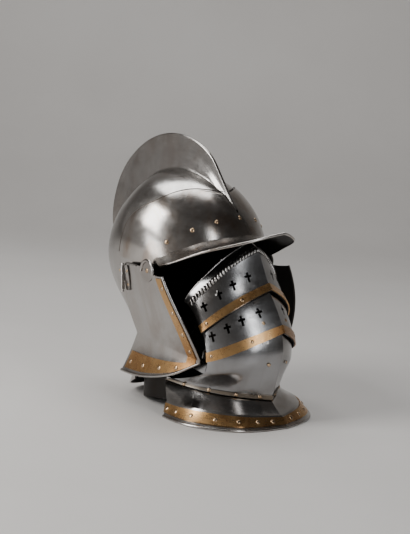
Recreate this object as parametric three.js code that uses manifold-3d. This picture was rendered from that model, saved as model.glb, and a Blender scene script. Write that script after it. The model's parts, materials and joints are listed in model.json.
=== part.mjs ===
// Closed helmet with a falling face defence, as used in the later sixteenth century.
// The helmet faces -Y, its wearer's right is -X, +Z is up, and it rests on the gorget rim and the nape.
// Millimetres throughout. Every named length is set here once.
import * as THREE from 'three';
import Module from 'manifold-3d';

const wasm = await Module();
wasm.setup();

const WALL = 1.6;             // skull, brow plate and cheeks
const LAME_WALL = 1.4;        // lames, chin plate, gorget
const GAP = 0.3;              // between neighbouring pieces
const BRASS = 1.0;            // thickness of the brass borders
const RIM_R = 2.0;            // turned steel rim
const RIVET_R = 3.2;
const RIVET_H = 1.3;
const RING_N = 28;            // sides of the skull

// Skull: one oval ring per row. front and back are reaches from mid, half is the half-width.
const SKULL_RINGS = [
  { z: 0, mid: 30, front: 110, back: 68, half: 73, sharp: 2.1 },
  { z: 20, mid: 30, front: 110, back: 62, half: 72, sharp: 2.1 },
  { z: 45, mid: 30, front: 110, back: 50, half: 73, sharp: 2.1 },
  { z: 66, mid: 30, front: 110, back: 44, half: 75, sharp: 2.1 },
  { z: 84, mid: 30, front: 112, back: 43.5, half: 77, sharp: 2.1 },
  { z: 104, mid: 30, front: 112, back: 50, half: 82, sharp: 2.1 },
  { z: 126, mid: 30, front: 113, back: 68, half: 89, sharp: 2.1 },
  { z: 150, mid: 30, front: 114, back: 95, half: 95.5, sharp: 2.1 },
  { z: 175, mid: 31, front: 115, back: 113, half: 100, sharp: 2.1 },
  { z: 200, mid: 33, front: 116, back: 117, half: 102.5, sharp: 2.1 },
  { z: 222, mid: 36, front: 115, back: 111, half: 103.5, sharp: 2.05 },
  { z: 242, mid: 40, front: 111, back: 100.5, half: 101.5, sharp: 2 },
  { z: 262, mid: 45, front: 105, back: 83, half: 96, sharp: 2 },
  { z: 279, mid: 50, front: 97, back: 64, half: 87, sharp: 2 },
  { z: 293, mid: 54, front: 86, back: 48, half: 75.5, sharp: 2 },
  { z: 304, mid: 56, front: 72, back: 37, half: 62, sharp: 2 },
  { z: 313, mid: 57, front: 54, back: 30, half: 46, sharp: 2 },
  { z: 319, mid: 58, front: 35, back: 23, half: 29, sharp: 2 },
  { z: 322.5, mid: 58, front: 12, back: 10, half: 10, sharp: 2 },
];
const DOME_MID_Z = 215;
const DOME_H = 110;

// Comb, front to back: its edge and, inside the dome, the line that it springs from.
const COMB = [
  { y: -54.5, z: 272.5, footY: -47, footZ: 267 },
  { y: -49, z: 281, footY: -41, footZ: 273 },
  { y: -42, z: 290, footY: -33, footZ: 282 },
  { y: -31, z: 304, footY: -21, footZ: 292 },
  { y: -17, z: 322.5, footY: -7, footZ: 302 },
  { y: -1, z: 342.5, footY: 10, footZ: 310 },
  { y: 18, z: 356.5, footY: 28, footZ: 315.5 },
  { y: 40, z: 365.3, footY: 45, footZ: 318.5 },
  { y: 62, z: 369.3, footY: 60, footZ: 317 },
  { y: 85, z: 369, footY: 72, footZ: 312 },
  { y: 106, z: 364, footY: 84, footZ: 304 },
  { y: 126, z: 355, footY: 96, footZ: 292 },
  { y: 148, z: 338.5, footY: 107, footZ: 279 },
  { y: 164, z: 321, footY: 118, footZ: 265 },
  { y: 177, z: 299, footY: 128, footZ: 249 },
  { y: 185.5, z: 272, footY: 136, footZ: 231 },
  { y: 188.5, z: 245, footY: 141, footZ: 213 },
  { y: 184, z: 216, footY: 143, footZ: 196 },
  { y: 171, z: 190, footY: 141, footZ: 180 },
  { y: 146, z: 166.5, footY: 134, footZ: 168 },
];
const COMB_EDGE = 2.4;        // half thickness of the comb's edge
const COMB_WAIST = 3.6;       // half thickness half way down
const COMB_FOOT = 11;         // half thickness where it springs

// Side view of the skull's front and lower edges, from the brow round the hinge to the nape.
const SKULL_EDGE = [
  [-46, 300], [-50, 278], [-38, 268], [-16, 240], [4, 214], [30, 203], [55, 203], [57.5, 190],
  [57.5, 172], [57, 158], [54.5, 137], [51.3, 120], [48, 106], [45.5, 96], [46, 72], [48, 50], [50, 27],
  [104, 0],
];
// Side view of the brow plate: rear edge over the skull, then the lower edge forward.
const BROW_REAR = [
  [68, 203], [63, 232], [53, 256], [37, 272], [16, 289], [3, 298], [-9, 301], [-19, 300],
  [-31, 296], [-37, 291], [-41, 287.5],
];
const BROW_LOWER = [[66, 200.5], [30, 199.5], [6, 199.5]];

// Peak: crease on the brow and outer edge, from the middle to the temple.
const PEAK = [
  { creaseX: 0, creaseY: -73, creaseZ: 246, edgeX: 0, edgeY: -137.5, edgeZ: 259 },
  { creaseX: 16, creaseY: -71.5, creaseZ: 245, edgeX: 18, edgeY: -131, edgeZ: 255 },
  { creaseX: 33, creaseY: -67, creaseZ: 243, edgeX: 36, edgeY: -123, edgeZ: 249.5 },
  { creaseX: 50, creaseY: -59, creaseZ: 240, edgeX: 54, edgeY: -112, edgeZ: 243.5 },
  { creaseX: 66, creaseY: -47.5, creaseZ: 235, edgeX: 72, edgeY: -93, edgeZ: 235.5 },
  { creaseX: 80, creaseY: -33, creaseZ: 228, edgeX: 87, edgeY: -69, edgeZ: 225.5 },
  { creaseX: 92, creaseY: -15, creaseZ: 219, edgeX: 97, edgeY: -41, edgeZ: 211.5 },
  { creaseX: 99.5, creaseY: 4, creaseZ: 209, edgeX: 103.5, edgeY: -13, edgeZ: 199.5 },
];
// Buffe: the lames turn about this axis, parallel to X. Reach of the ridge by angle above forward.
const PIVOT = { y: -29, z: 82 };
// ends holds, for a ridge angle, the angle of the same line at the lame's side end.
const LAME_HALF = 86;         // half width of the middle lame
const LAME_STEP = 4;          // the upper lame is wider by this, the chin plate narrower
const UPPER = {
  half: LAME_HALF + LAME_STEP, from: 45.5, to: 73,
  reach: [[45.5, 137.5], [49.5, 138.5], [55, 144], [59.7, 151], [64, 159], [67, 165], [70, 167.5], [73, 168.5]],
  ends: [[45.5, 35.5], [49.9, 44.3], [67, 72.3], [73, 80]],
  hang: [[0, 2], [0.18, 2.1], [0.35, 2.7], [0.52, 3.5], [0.68, 4.8], [0.85, 5.8], [1, 5]],
};
// hang holds, for a share of the half width, how far the crease falls below a level line, in degrees.
const CREASE = 67;            // angle of the crease between the face and the strip on top
const HANG_FROM = 57;         // the face is level up to this angle
const LIP_HANG = 0.55;        // fall of the strip's upper edge, as a share of the crease's
const MIDDLE = {
  half: LAME_HALF, from: 19.6, to: 49, rows: 5,
  reach: [[19.6, 132.6], [24.6, 131.8], [35.9, 131.2], [44, 132.5], [49, 133.2]],
  ends: [[19.6, 0], [24.6, 12], [49, 40]],
};
const CHIN = {
  half: LAME_HALF - LAME_STEP, from: -8, to: 23.5, rows: 5,
  reach: [[-8, 123.4], [-4, 124.3], [3.9, 126.5], [12.9, 128], [18, 128.2], [23.5, 127.6]],
  ends: [[-8, -24], [3.9, -16], [12.9, -9], [23.5, 3.5]],
};
const ARM_LEVEL = 1.6;            // centre of a side arm below the lame's outer face
const PLAN_POWER = 4;          // plan curve of the lames: x = half * (1 - q^power)
const PLAN_Q = [1, 0.975, 0.945, 0.905, 0.855, 0.79, 0.705, 0.6, 0.48];
const BAND_1 = [45.7, 49.9];
const BAND_2 = [19.8, 24.6];
// Roped rib across the upper lame: row angles, and how far each row stands out.
const UPPER_ROWS = [
  { angle: 45.5, out: 0 }, { angle: 51.5, out: 0 }, { angle: HANG_FROM, out: 0 }, { angle: 62, out: 0 },
  { angle: CREASE, out: 0 }, { angle: CREASE + 0.6, out: 2.4 }, { angle: CREASE + 1.8, out: 2.4 },
  { angle: CREASE + 2.5, out: 0 }, { angle: 71.2, out: 0 }, { angle: 73, out: 0 },
];
const CROSS_H = 14;
const CROSS_W = 10;
const CROSS_BAR = 3.2;

// Neck of the buffe and its gorget, ridge to rear corner.
const NECK = [
  { x: 0, y: -142.5, z: 33 }, { x: 20, y: -130, z: 34.5 }, { x: 43, y: -116.5, z: 37 },
  { x: 61, y: -96, z: 39 }, { x: 73, y: -68, z: 40.5 }, { x: 78, y: -40, z: 42 }, { x: 79, y: -18, z: 43 },
];
const GORGET_MID = [
  { x: 0, y: -162.5, z: 15.6 }, { x: 26, y: -155, z: 17 }, { x: 54, y: -144.5, z: 19 },
  { x: 78, y: -125, z: 21 }, { x: 95, y: -94, z: 21.5 }, { x: 97.5, y: -62, z: 20 }, { x: 94, y: -38, z: 19.5 },
];
const GORGET_RIM = [
  { x: 0, y: -172.5, z: 3 }, { x: 31, y: -167.5, z: 3 }, { x: 61, y: -159, z: 3 },
  { x: 91, y: -137.5, z: 3 }, { x: 110.5, y: -101, z: 3 }, { x: 112, y: -68, z: 3 }, { x: 107.5, y: -47, z: 3 },
];
const COLLAR = [
  { z: 44, endX: 73.4, endY: -38, frontX: 74.4, frontY: -14, side: 73, sideY: 14, turn: 52, turnY: 52, back: 71 },
  { z: 27, endX: 72.6, endY: -30, frontX: 73, frontY: -12, side: 72, sideY: 14, turn: 50.5, turnY: 50, back: 69.5 },
  { z: 12, endX: 71.5, endY: -22, frontX: 71.8, frontY: -8, side: 70, sideY: 13, turn: 49.5, turnY: 49, back: 69.5 },
];
const COLLAR_LOW = [13, 12, 9, 1.5, 0.2];   // heights of its lower edge, front end to back

const CHEEK_RIM = [
  { x: 88, y: 68.5, z: 38 }, { x: 90.8, y: 38, z: 40 }, { x: 90.2, y: 6.4, z: 44 },
  { x: 85.8, y: -26, z: 51.6 }, { x: 76.6, y: -51.4, z: 61.8 }, { x: 61.8, y: -78.4, z: 78.9 },
];
const CHEEK_WAIST = [
  { x: 80, y: 46.4, z: 95.6 }, { x: 80.3, y: 22.4, z: 94.3 }, { x: 79.8, y: -4.5, z: 92.6 },
  { x: 76.9, y: -31.6, z: 89.9 }, { x: 70.8, y: -55.5, z: 86.7 }, { x: 62.5, y: -79.5, z: 84 },
];
const CHEEK_TOP = [
  { x: 102.3, y: 54.2, z: 193 }, { x: 103.9, y: 34.5, z: 194.8 }, { x: 105.5, y: 15.4, z: 196 },
  { x: 106.7, y: -3.6, z: 195.5 }, { x: 107.8, y: -25.2, z: 190.6 }, { x: 108.6, y: -48.4, z: 192.8 },
];
const CHEEK_OPEN = 12;         // degrees that each cheek stands open
const HINGE = { x: 104.5, y: 54, low: 156, high: 190, lean: 4 / 34 };
const BARREL_R = 3;
const LUG = { y: -8.8, z: 193.8, r: 15 };   // centre and outer radius of the half-round lug

const STEEL = { color: 0x8f9499, roughness: 0.22, metalness: 1 };
const DARK_STEEL = { color: 0x3a3b3c, roughness: 0.45, metalness: 1 };
const BRASS_LOOK = { color: 0x9a6a33, roughness: 0.35, metalness: 1 };

const rad = (degrees) => (degrees * Math.PI) / 180;
const vec = (x, y, z) => new THREE.Vector3(x, y, z);

// Solids from lists of points and triangles.
function solid(points, triangles) {
  const verts = new Float32Array(points.length * 3);
  points.forEach((p, i) => verts.set([p.x, p.y, p.z], i * 3));
  let volume = 0;
  for (const [a, b, c] of triangles) {
    volume += points[a].dot(vec(0, 0, 0).crossVectors(points[b], points[c]));
  }
  const turned = volume < 0 ? triangles.map(([a, b, c]) => [a, c, b]) : triangles;
  const triVerts = new Uint32Array(turned.flat());
  return new wasm.Manifold(new wasm.Mesh({ numProp: 3, vertProperties: verts, triVerts }));
}

// Rings of equal count, joined in order and closed at both ends.
function loft(rings) {
  const n = rings[0].length;
  const points = rings.flat();
  const triangles = [];
  for (let r = 0; r + 1 < rings.length; r += 1) {
    for (let i = 0; i < n; i += 1) {
      const a = r * n + i;
      const b = r * n + ((i + 1) % n);
      triangles.push([a, b, b + n], [a, b + n, a + n]);
    }
  }
  const last = (rings.length - 1) * n;
  for (const [start, flip] of [[0, true], [last, false]]) {
    const centre = points.length;
    const middle = vec(0, 0, 0);
    for (let i = 0; i < n; i += 1) {
      middle.add(points[start + i]);
    }
    points.push(middle.divideScalar(n));
    for (let i = 0; i < n; i += 1) {
      const a = start + i;
      const b = start + ((i + 1) % n);
      triangles.push(flip ? [centre, b, a] : [centre, a, b]);
    }
  }
  return solid(points, triangles);
}

// Unit normals of a grid of points, on the side away from "inside".
function gridNormals(grid, inside) {
  return grid.map((row, i) => row.map((p, j) => {
    const down = grid[Math.min(i + 1, grid.length - 1)][j];
    const up = grid[Math.max(i - 1, 0)][j];
    const right = row[Math.min(j + 1, row.length - 1)];
    const left = row[Math.max(j - 1, 0)];
    const n = vec(0, 0, 0).crossVectors(down.clone().sub(up), right.clone().sub(left)).normalize();
    return n.dot(p.clone().sub(inside)) < 0 ? n.negate() : n;
  }));
}

// A curved plate: the grid is its middle of reference, from lies further out than to.
function plate(grid, inside, from, to) {
  const normals = gridNormals(grid, inside);
  const rows = grid.length;
  const cols = grid[0].length;
  const at = (d) => grid.flatMap((row, i) => row.map((p, j) => p.clone().addScaledVector(normals[i][j], d)));
  const points = [...at(from), ...at(to)];
  const half = rows * cols;
  const triangles = [];
  for (let i = 0; i + 1 < rows; i += 1) {
    for (let j = 0; j + 1 < cols; j += 1) {
      const a = i * cols + j;
      triangles.push([a, a + 1, a + cols + 1], [a, a + cols + 1, a + cols]);
      triangles.push([half + a, half + a + cols + 1, half + a + 1], [half + a, half + a + cols, half + a + cols + 1]);
    }
  }
  const border = [];
  for (let j = 0; j + 1 < cols; j += 1) {
    border.push([j, j + 1]);
  }
  for (let i = 0; i + 1 < rows; i += 1) {
    border.push([i * cols + cols - 1, (i + 1) * cols + cols - 1]);
  }
  for (let j = cols - 1; j > 0; j -= 1) {
    border.push([(rows - 1) * cols + j, (rows - 1) * cols + j - 1]);
  }
  for (let i = rows - 1; i > 0; i -= 1) {
    border.push([i * cols, (i - 1) * cols]);
  }
  for (const [a, b] of border) {
    triangles.push([a, half + a, half + b], [a, half + b, b]);
  }
  return solid(points, triangles);
}

// A round bar along points, with a radius for each.
function bar(path, radius, sides = 5) {
  const rings = path.map((p, i) => {
    const ahead = path[Math.min(i + 1, path.length - 1)];
    const behind = path[Math.max(i - 1, 0)];
    const along = ahead.clone().sub(behind).normalize();
    const side = vec(0, 0, 0).crossVectors(along, vec(0.13, 0.21, 0.97)).normalize();
    const up = vec(0, 0, 0).crossVectors(side, along).normalize();
    const r = typeof radius === 'number' ? radius : radius(i);
    return Array.from({ length: sides }, (_, k) => {
      const t = (k / sides) * 2 * Math.PI;
      return p.clone().addScaledVector(side, r * Math.cos(t)).addScaledVector(up, r * Math.sin(t));
    });
  });
  return loft(rings);
}

// Low domed head standing on a surface at p, with its foot sunk by "sink".
function head(p, normal, r, h, sink, sides = 6) {
  const n = normal.clone().normalize();
  const side = vec(0, 0, 0).crossVectors(n, vec(0.11, 0.17, 0.98)).normalize();
  const up = vec(0, 0, 0).crossVectors(side, n);
  const ring = (radius, height) => Array.from({ length: sides }, (_, k) => {
    const t = (k / sides) * 2 * Math.PI;
    return p.clone().addScaledVector(n, height)
      .addScaledVector(side, radius * Math.cos(t)).addScaledVector(up, radius * Math.sin(t));
  });
  return loft([ring(r, -sink), ring(r * 0.6, h)]);
}

// A side-view outline (y, z) made into a slab between two x values.
function sideSlab(outline, x0, x1) {
  const shape = new THREE.Shape(outline.map(([y, z]) => new THREE.Vector2(y, z)));
  const geometry = new THREE.ExtrudeGeometry(shape, { depth: x1 - x0, bevelEnabled: false });
  const position = geometry.getAttribute('position');
  const keys = new Map();
  const points = [];
  const index = [];
  for (let i = 0; i < position.count; i += 1) {
    const p = vec(position.getZ(i) + x0, position.getX(i), position.getY(i));
    const key = `${p.x.toFixed(4)},${p.y.toFixed(4)},${p.z.toFixed(4)}`;
    if (!keys.has(key)) {
      keys.set(key, points.length);
      points.push(p);
    }
    index.push(keys.get(key));
  }
  const triangles = [];
  for (let i = 0; i < index.length; i += 3) {
    triangles.push([index[i], index[i + 1], index[i + 2]]);
  }
  return solid(points, triangles);
}

// A box with its own axes.
function block(centre, ax, ay, az, sx, sy, sz) {
  const corner = (i, j, k) => centre.clone().addScaledVector(ax, i * sx / 2)
    .addScaledVector(ay, j * sy / 2).addScaledVector(az, k * sz / 2);
  const ring = (k) => [corner(-1, -1, k), corner(1, -1, k), corner(1, 1, k), corner(-1, 1, k)];
  return loft([ring(-1), ring(1)]);
}

const curve = (rows, n) => {
  const spline = new THREE.CatmullRomCurve3(rows.map((p) => vec(p.x, p.y, p.z)), false, 'centripetal');
  return Array.from({ length: n + 1 }, (_, i) => spline.getPoint(i / n));
};
const mirror = (points) => points.slice(1).reverse().map((p) => vec(-p.x, p.y, p.z)).concat(points);
const join = (list) => list.reduce((a, b) => a.add(b));
const lookUp = (table, t) => {
  for (let i = 0; i + 1 < table.length; i += 1) {
    const [t0, v0] = table[i];
    const [t1, v1] = table[i + 1];
    if (t <= t1) {
      return v0 + ((v1 - v0) * (t - t0)) / (t1 - t0);
    }
  }
  return table[table.length - 1][1];
};

const group = new THREE.Group();
const made = [];
function add(name, shape, look) {
  made.push({ name, shape, look });
}

// Skull and brow
function skullRing(row, off) {
  const rise = row.z > DOME_MID_Z ? ((row.z - DOME_MID_Z) * off) / DOME_H : 0;
  return Array.from({ length: RING_N }, (_, k) => {
    const t = (k / RING_N) * 2 * Math.PI;
    const c = Math.cos(t);
    const s = Math.sin(t);
    const p = 2 / row.sharp;
    const reach = (c > 0 ? row.front : row.back) + off;
    return vec(
      (row.half + off) * Math.sign(s) * Math.abs(s) ** p,
      row.mid - reach * Math.sign(c) * Math.abs(c) ** p,
      row.z + rise,
    );
  });
}
const skullForm = (off, extraLow = 0) => loft(SKULL_RINGS.map((row, i) => {
  const ring = skullRing(row, off);
  return i === 0 && extraLow ? ring.map((p) => vec(p.x, p.y, p.z - extraLow)) : ring;
}));
function combForm(off) {
  return loft(COMB.map((row) => {
    const edge = vec(0, row.y, row.z);
    const foot = vec(0, row.footY, row.footZ);
    const up = edge.clone().sub(foot);
    const height = up.length();
    up.divideScalar(height);
    const level = (h, half) => [-1, 1].map((s) => foot.clone().addScaledVector(up, h).add(vec(s * half, 0, 0)));
    const [f0, f1] = level(-off - 1, COMB_FOOT + off);
    const [g0, g1] = level(Math.min(height * 0.3, 9), COMB_WAIST + 2 + off);
    const [m0, m1] = level(height * 0.62, COMB_WAIST - 0.6 + off);
    const [t0, t1] = level(height - 1.5 + off, COMB_EDGE + off);
    const top = foot.clone().addScaledVector(up, height + off);
    return [f0, g0, m0, t0, top, t1, m1, g1, f1];
  }));
}
const REAR_WALL = [[230, -2], [230, 400], [-46, 400]];
const outerSkull = skullForm(0).add(combForm(0));
const innerSkull = skullForm(-WALL, 5).add(combForm(-1.3));
const skullShell = outerSkull.subtract(innerSkull).intersect(sideSlab([...SKULL_EDGE, ...REAR_WALL], -130, 130));

const browPlan = [
  ...BROW_REAR, [-52, 300], [-100, 300], [-100, 246],
  ...PEAK.map((row) => [row.creaseY, row.creaseZ]), ...BROW_LOWER.slice().reverse(),
];
const BROW_IN = GAP + 0.05;
const browShell = skullForm(BROW_IN + WALL).subtract(skullForm(BROW_IN))
  .intersect(sideSlab(browPlan, -130, 130));
const peakRows = [0, 0.34, 0.67, 1].map((t) => {
  const half = PEAK.map((row) => {
    const crease = vec(row.creaseX, row.creaseY, row.creaseZ);
    const edge = vec(row.edgeX, row.edgeY, row.edgeZ);
    const p = crease.clone().lerp(edge, t);
    p.z += -5 * Math.sin(Math.PI * t) * (1 - row.creaseX / 110);
    return p;
  });
  return mirror(half);
});
const peakEdge = peakRows[3];
const peak = plate(peakRows, vec(0, 0, -400), 0.9, -0.9)
  .add(bar(peakEdge, 1.8, 4));
const brow = join([browShell, peak]).subtract(skullForm(BROW_IN - 0.02))
  .subtract(combForm(0.4));
add('brow_plate', brow, STEEL);

// Point and outward direction on the skull form, by side-view position.
function onSkull(x, y, z, off) {
  let low = SKULL_RINGS[0];
  let high = SKULL_RINGS[1];
  for (let i = 0; i + 1 < SKULL_RINGS.length; i += 1) {
    if (z >= SKULL_RINGS[i].z) {
      low = SKULL_RINGS[i];
      high = SKULL_RINGS[i + 1];
    }
  }
  const t = (z - low.z) / (high.z - low.z);
  const mix = (key) => low[key] + (high[key] - low[key]) * t;
  const mid = mix('mid');
  const reach = (y < mid ? mix('front') : mix('back'));
  const half = mix('half');
  const share = Math.min(Math.abs(y - mid) / reach, 0.999);
  const sharp = mix('sharp');
  const across = half * (1 - share ** sharp) ** (1 / sharp);
  const dz = (key) => (high[key] - low[key]) / (high.z - low.z);
  const n = vec(
    across / (half * half),
    (y - mid) / (reach * reach),
    -dz('half') / half * (across / half) ** 2 - (dz(y < mid ? 'front' : 'back') / reach) * share ** 2
      - (dz('mid') * (y - mid)) / (reach * reach),
  ).normalize();
  n.x *= Math.sign(x);
  const above = skullRing(high, 0);
  const ring = skullRing(low, 0).map((q, k) => q.lerp(above[k], t));
  const k = Math.max(ring.findIndex((q, i) => i < RING_N / 2 && q.y <= y && ring[i + 1].y >= y), 0);
  const side = ring[k].clone().lerp(ring[k + 1], (y - ring[k].y) / (ring[k + 1].y - ring[k].y));
  return { p: vec(Math.sign(x) * side.x, y, z).addScaledVector(n, off), n };
}
const BROW_RIVETS = [{ y: -51, z: 262 }, { y: -36, z: 250 }, { y: -13, z: 231.5 }];
BROW_RIVETS.forEach(({ y, z }, i) => {
  for (const [side, label] of [[-1, 'right'], [1, 'left']]) {
    const { p, n } = onSkull(side, y, z, BROW_IN + WALL + GAP + 0.25);
    add(`brow_rivet_${label}_${i + 1}`, head(p, n, RIVET_R, RIVET_H, 0), BRASS_LOOK);
  }
});
const ridgeSpot = onSkull(1, -56.2, 267, 0);
ridgeSpot.n.setX(0).normalize();
ridgeSpot.p.setX(0).addScaledVector(ridgeSpot.n, BROW_IN + WALL + GAP + 0.2);
add('brow_rivet_middle', head(ridgeSpot.p, ridgeSpot.n, RIVET_R, RIVET_H, 0), BRASS_LOOK);

// Buffe
function hung(spec, angle, q) {
  if (!spec.hang || angle <= HANG_FROM) {
    return { level: angle, full: lookUp(spec.reach, angle) };
  }
  const share = (1 - q ** PLAN_POWER) / (1 - PLAN_Q[PLAN_Q.length - 1] ** PLAN_POWER);
  const drop = lookUp(spec.hang, share);
  if (angle <= CREASE) {
    const level = HANG_FROM + ((angle - HANG_FROM) * (CREASE - drop - HANG_FROM)) / (CREASE - HANG_FROM);
    return { level, full: lookUp(spec.reach, level) };
  }
  const level = angle - drop * (1 - ((1 - LIP_HANG) * (angle - CREASE)) / (spec.to - CREASE));
  const lift = lookUp(spec.reach, angle) - lookUp(spec.reach, CREASE);
  return { level, full: lookUp(spec.reach, CREASE - drop) + lift };
}
function lamePoint(spec, angle, q, sign) {
  const { level, full } = hung(spec, angle, q);
  const reach = full * q;
  const aside = (1 - q) / (1 - PLAN_Q[PLAN_Q.length - 1]);
  const a = rad(level + (lookUp(spec.ends, angle) - angle) * aside);
  return vec(
    sign * spec.half * (1 - q ** PLAN_POWER),
    PIVOT.y - reach * Math.cos(a),
    PIVOT.z + reach * Math.sin(a),
  );
}
const lameRow = (spec, angle, qs = PLAN_Q) => [
  ...qs.slice(1).reverse().map((q) => lamePoint(spec, angle, q, -1)),
  ...qs.map((q) => lamePoint(spec, angle, q, 1)),
];
const INSIDE = vec(0, -10, 90);
function lameGrid(spec) {
  return Array.from({ length: spec.rows }, (_, i) => {
    const angle = spec.from + ((spec.to - spec.from) * i) / (spec.rows - 1);
    return lameRow(spec, angle);
  });
}
// Flat side arms that carry a lame from its pivot; each side one bar with a bored round end.
function lameArms(spec, angle, level) {
  const arms = [-1, 1].map((sign) => {
    const x = sign * (spec.half * (1 - PLAN_Q[PLAN_Q.length - 1] ** PLAN_POWER) - level);
    const along = vec(0, -Math.cos(rad(angle)), Math.sin(rad(angle)));
    const across = vec(0, Math.sin(rad(angle)), Math.cos(rad(angle)));
    const reach = lookUp(spec.reach, angle) * PLAN_Q[PLAN_Q.length - 1] + 0.5;
    const centre = vec(x, PIVOT.y, PIVOT.z).addScaledVector(along, reach / 2);
    const plateBar = block(centre, vec(1, 0, 0), along, across, LAME_WALL, reach, 15);
    const disc = disk(vec(x, PIVOT.y, PIVOT.z), 9, LAME_WALL / 2, 16);
    const bore = disk(vec(x, PIVOT.y, PIVOT.z), 3.3, LAME_WALL, 12);
    return plateBar.add(disc).subtract(bore);
  });
  return join(arms);
}
function disk(centre, r, halfThick, sides) {
  const ring = (x) => Array.from({ length: sides }, (_, k) => {
    const t = (k / sides) * 2 * Math.PI;
    return vec(centre.x + x, centre.y + r * Math.cos(t), centre.z + r * Math.sin(t));
  });
  return loft([ring(-halfThick), ring(halfThick)]);
}
function surface(spec, angle, q, sign) {
  const p = lamePoint(spec, angle, q, sign);
  const du = lamePoint(spec, angle + 0.5, q, sign).sub(lamePoint(spec, angle - 0.5, q, sign));
  const dv = lamePoint(spec, angle, q - 0.004, sign).sub(lamePoint(spec, angle, Math.min(q + 0.004, 1), sign));
  const n = vec(0, 0, 0).crossVectors(du, dv).normalize();
  if (n.dot(p.clone().sub(INSIDE)) < 0) {
    n.negate();
  }
  return { p, n, up: du.normalize() };
}
const qOf = (share) => (1 - share) ** (1 / PLAN_POWER);
function crossCut(spec, angle, share, sign) {
  const { p, n, up } = surface(spec, angle, qOf(share), sign);
  const side = vec(0, 0, 0).crossVectors(n, up).normalize();
  const tall = block(p, side, up, n, CROSS_BAR, CROSS_H, 12);
  const wide = block(p.clone().addScaledVector(up, CROSS_H * 0.1), side, up, n, CROSS_W, CROSS_BAR, 12);
  return tall.add(wide);
}
function crosses(spec, places) {
  return join(places.flatMap(([angle, share]) => [-1, 1].map((sign) => crossCut(spec, angle, share, sign))));
}
function brassBand(spec, [from, to], rivetShares) {
  const grid = [from, (from + to) / 2, to].map((angle) => lameRow(spec, angle));
  const strip = plate(grid, INSIDE, GAP + BRASS + 0.65, GAP + 0.65);
  const mid = (from + to) / 2;
  const heads = rivetShares.flatMap((share) => [-1, 1].map((sign) => {
    const { p, n } = surface(spec, mid, qOf(share), sign);
    return head(p.addScaledVector(n, GAP + 0.45), n, 2.6, BRASS + RIVET_H * 0.6, -0.2);
  }));
  return join([strip, ...heads]);
}

const upperGrid = UPPER_ROWS.map((row) => lameRow(UPPER, row.angle));
const upperNormals = gridNormals(upperGrid, INSIDE);
UPPER_ROWS.forEach((row, i) => upperGrid[i].forEach((p, j) => p.addScaledVector(upperNormals[i][j], row.out)));
// Crosses: ridge angle of their line, and place across as a share of the half width.
const UPPER_CROSSES = [[57, 0.275], [57, 0.51], [57, 0.71], [57, 0.875]];
const MIDDLE_CROSSES = [[36.8, 0.29], [37, 0.555], [37, 0.745], [37, 0.895]];
const upperLame = join([plate(upperGrid, INSIDE, 0, -LAME_WALL), lameArms(UPPER, 54, ARM_LEVEL)])
  .subtract(crosses(UPPER, UPPER_CROSSES));
add('upper_lame', upperLame, STEEL);
add('upper_lame_band', brassBand(UPPER, BAND_1, [0.47, 0.9]), BRASS_LOOK);
const middleLame = join([plate(lameGrid(MIDDLE), INSIDE, 0, -LAME_WALL), lameArms(MIDDLE, 24, ARM_LEVEL)])
  .subtract(crosses(MIDDLE, MIDDLE_CROSSES));
add('middle_lame', middleLame, STEEL);
add('middle_lame_band', brassBand(MIDDLE, BAND_2, [0.5, 0.92]), BRASS_LOOK);

// Chin plate: angled rows above, then down to the neck line.
const neckRow = mirror(curve(NECK, PLAN_Q.length - 1));
const chinLow = lameRow(CHIN, CHIN.from);
const chinGrid = lameGrid(CHIN).reverse();
[0.4, 0.82, 0.91, 1].forEach((t) => {
  chinGrid.push(chinLow.map((p, j) => {
    return p.clone().lerp(neckRow[j], t);
  }));
});
const chinPlate = plate(chinGrid, INSIDE, 0, -LAME_WALL);
add('chin_plate', chinPlate.add(lameArms(CHIN, -10, ARM_LEVEL)), STEEL);

// Gorget: flared plate, riveted neck band, brass border, turned rim with a flat underside.
const GORGET_COLS = 8;
const GORGET_IN = vec(0, -30, -60);
const neckLine = mirror(curve(NECK, GORGET_COLS));
const midLine = mirror(curve(GORGET_MID, GORGET_COLS));
const rimLine = mirror(curve(GORGET_RIM, GORGET_COLS));
const blendRow = (a, b, t, sag = 0) => a.map((p, j) => {
  const q = p.clone().lerp(b[j], t);
  q.z -= sag;
  return q;
});
const lower = (row, d) => row.map((p) => p.clone().add(vec(0, 0, -d)));
const tuck = (row, d) => row.map((p, j) => {
  const a = row[Math.max(j - 1, 0)];
  const b = row[Math.min(j + 1, row.length - 1)];
  const out = vec(b.y - a.y, a.x - b.x, 0).normalize();
  return p.clone().addScaledVector(out, -d);
});
const TUCK = LAME_WALL + 1.3;
const gorgetRows = [
  tuck(lower(neckLine, -3), TUCK), tuck(lower(neckLine, 1.4), TUCK), blendRow(neckLine, midLine, 0.45, 1.8), midLine,
  blendRow(midLine, rimLine, 0.5, 0.8), rimLine,
];
const floorSlab = sideSlab([[-260, 0], [260, 0], [260, 420], [-260, 420]], -150, 150);
const rimBar = bar(rimLine.map((p) => p.clone().add(vec(0, 0, -1.6))), RIM_R + 0.2, 6);
const gorget = plate(gorgetRows, GORGET_IN, 0, -LAME_WALL).add(rimBar).intersect(floorSlab);
add('gorget_plate', gorget, STEEL);
const borderGrid = [
  blendRow(midLine, rimLine, 0.15, 0.24), blendRow(midLine, rimLine, 0.5, 0.8), blendRow(midLine, rimLine, 0.8, 0.32),
];
const borderMid = borderGrid[1];
const borderNormals = gridNormals(borderGrid, GORGET_IN)[1];
const gorgetHeads = [0.86, 2, 3.15, 4.3, 5.45, 6.6, 7.6].flatMap((step) => [-1, 1].map((side) => {
  const t = GORGET_COLS + side * step;
  const i = Math.floor(t);
  const p = borderMid[i].clone().lerp(borderMid[i + 1], t - i);
  return { p, n: borderNormals[Math.round(t)] };
}));
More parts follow.
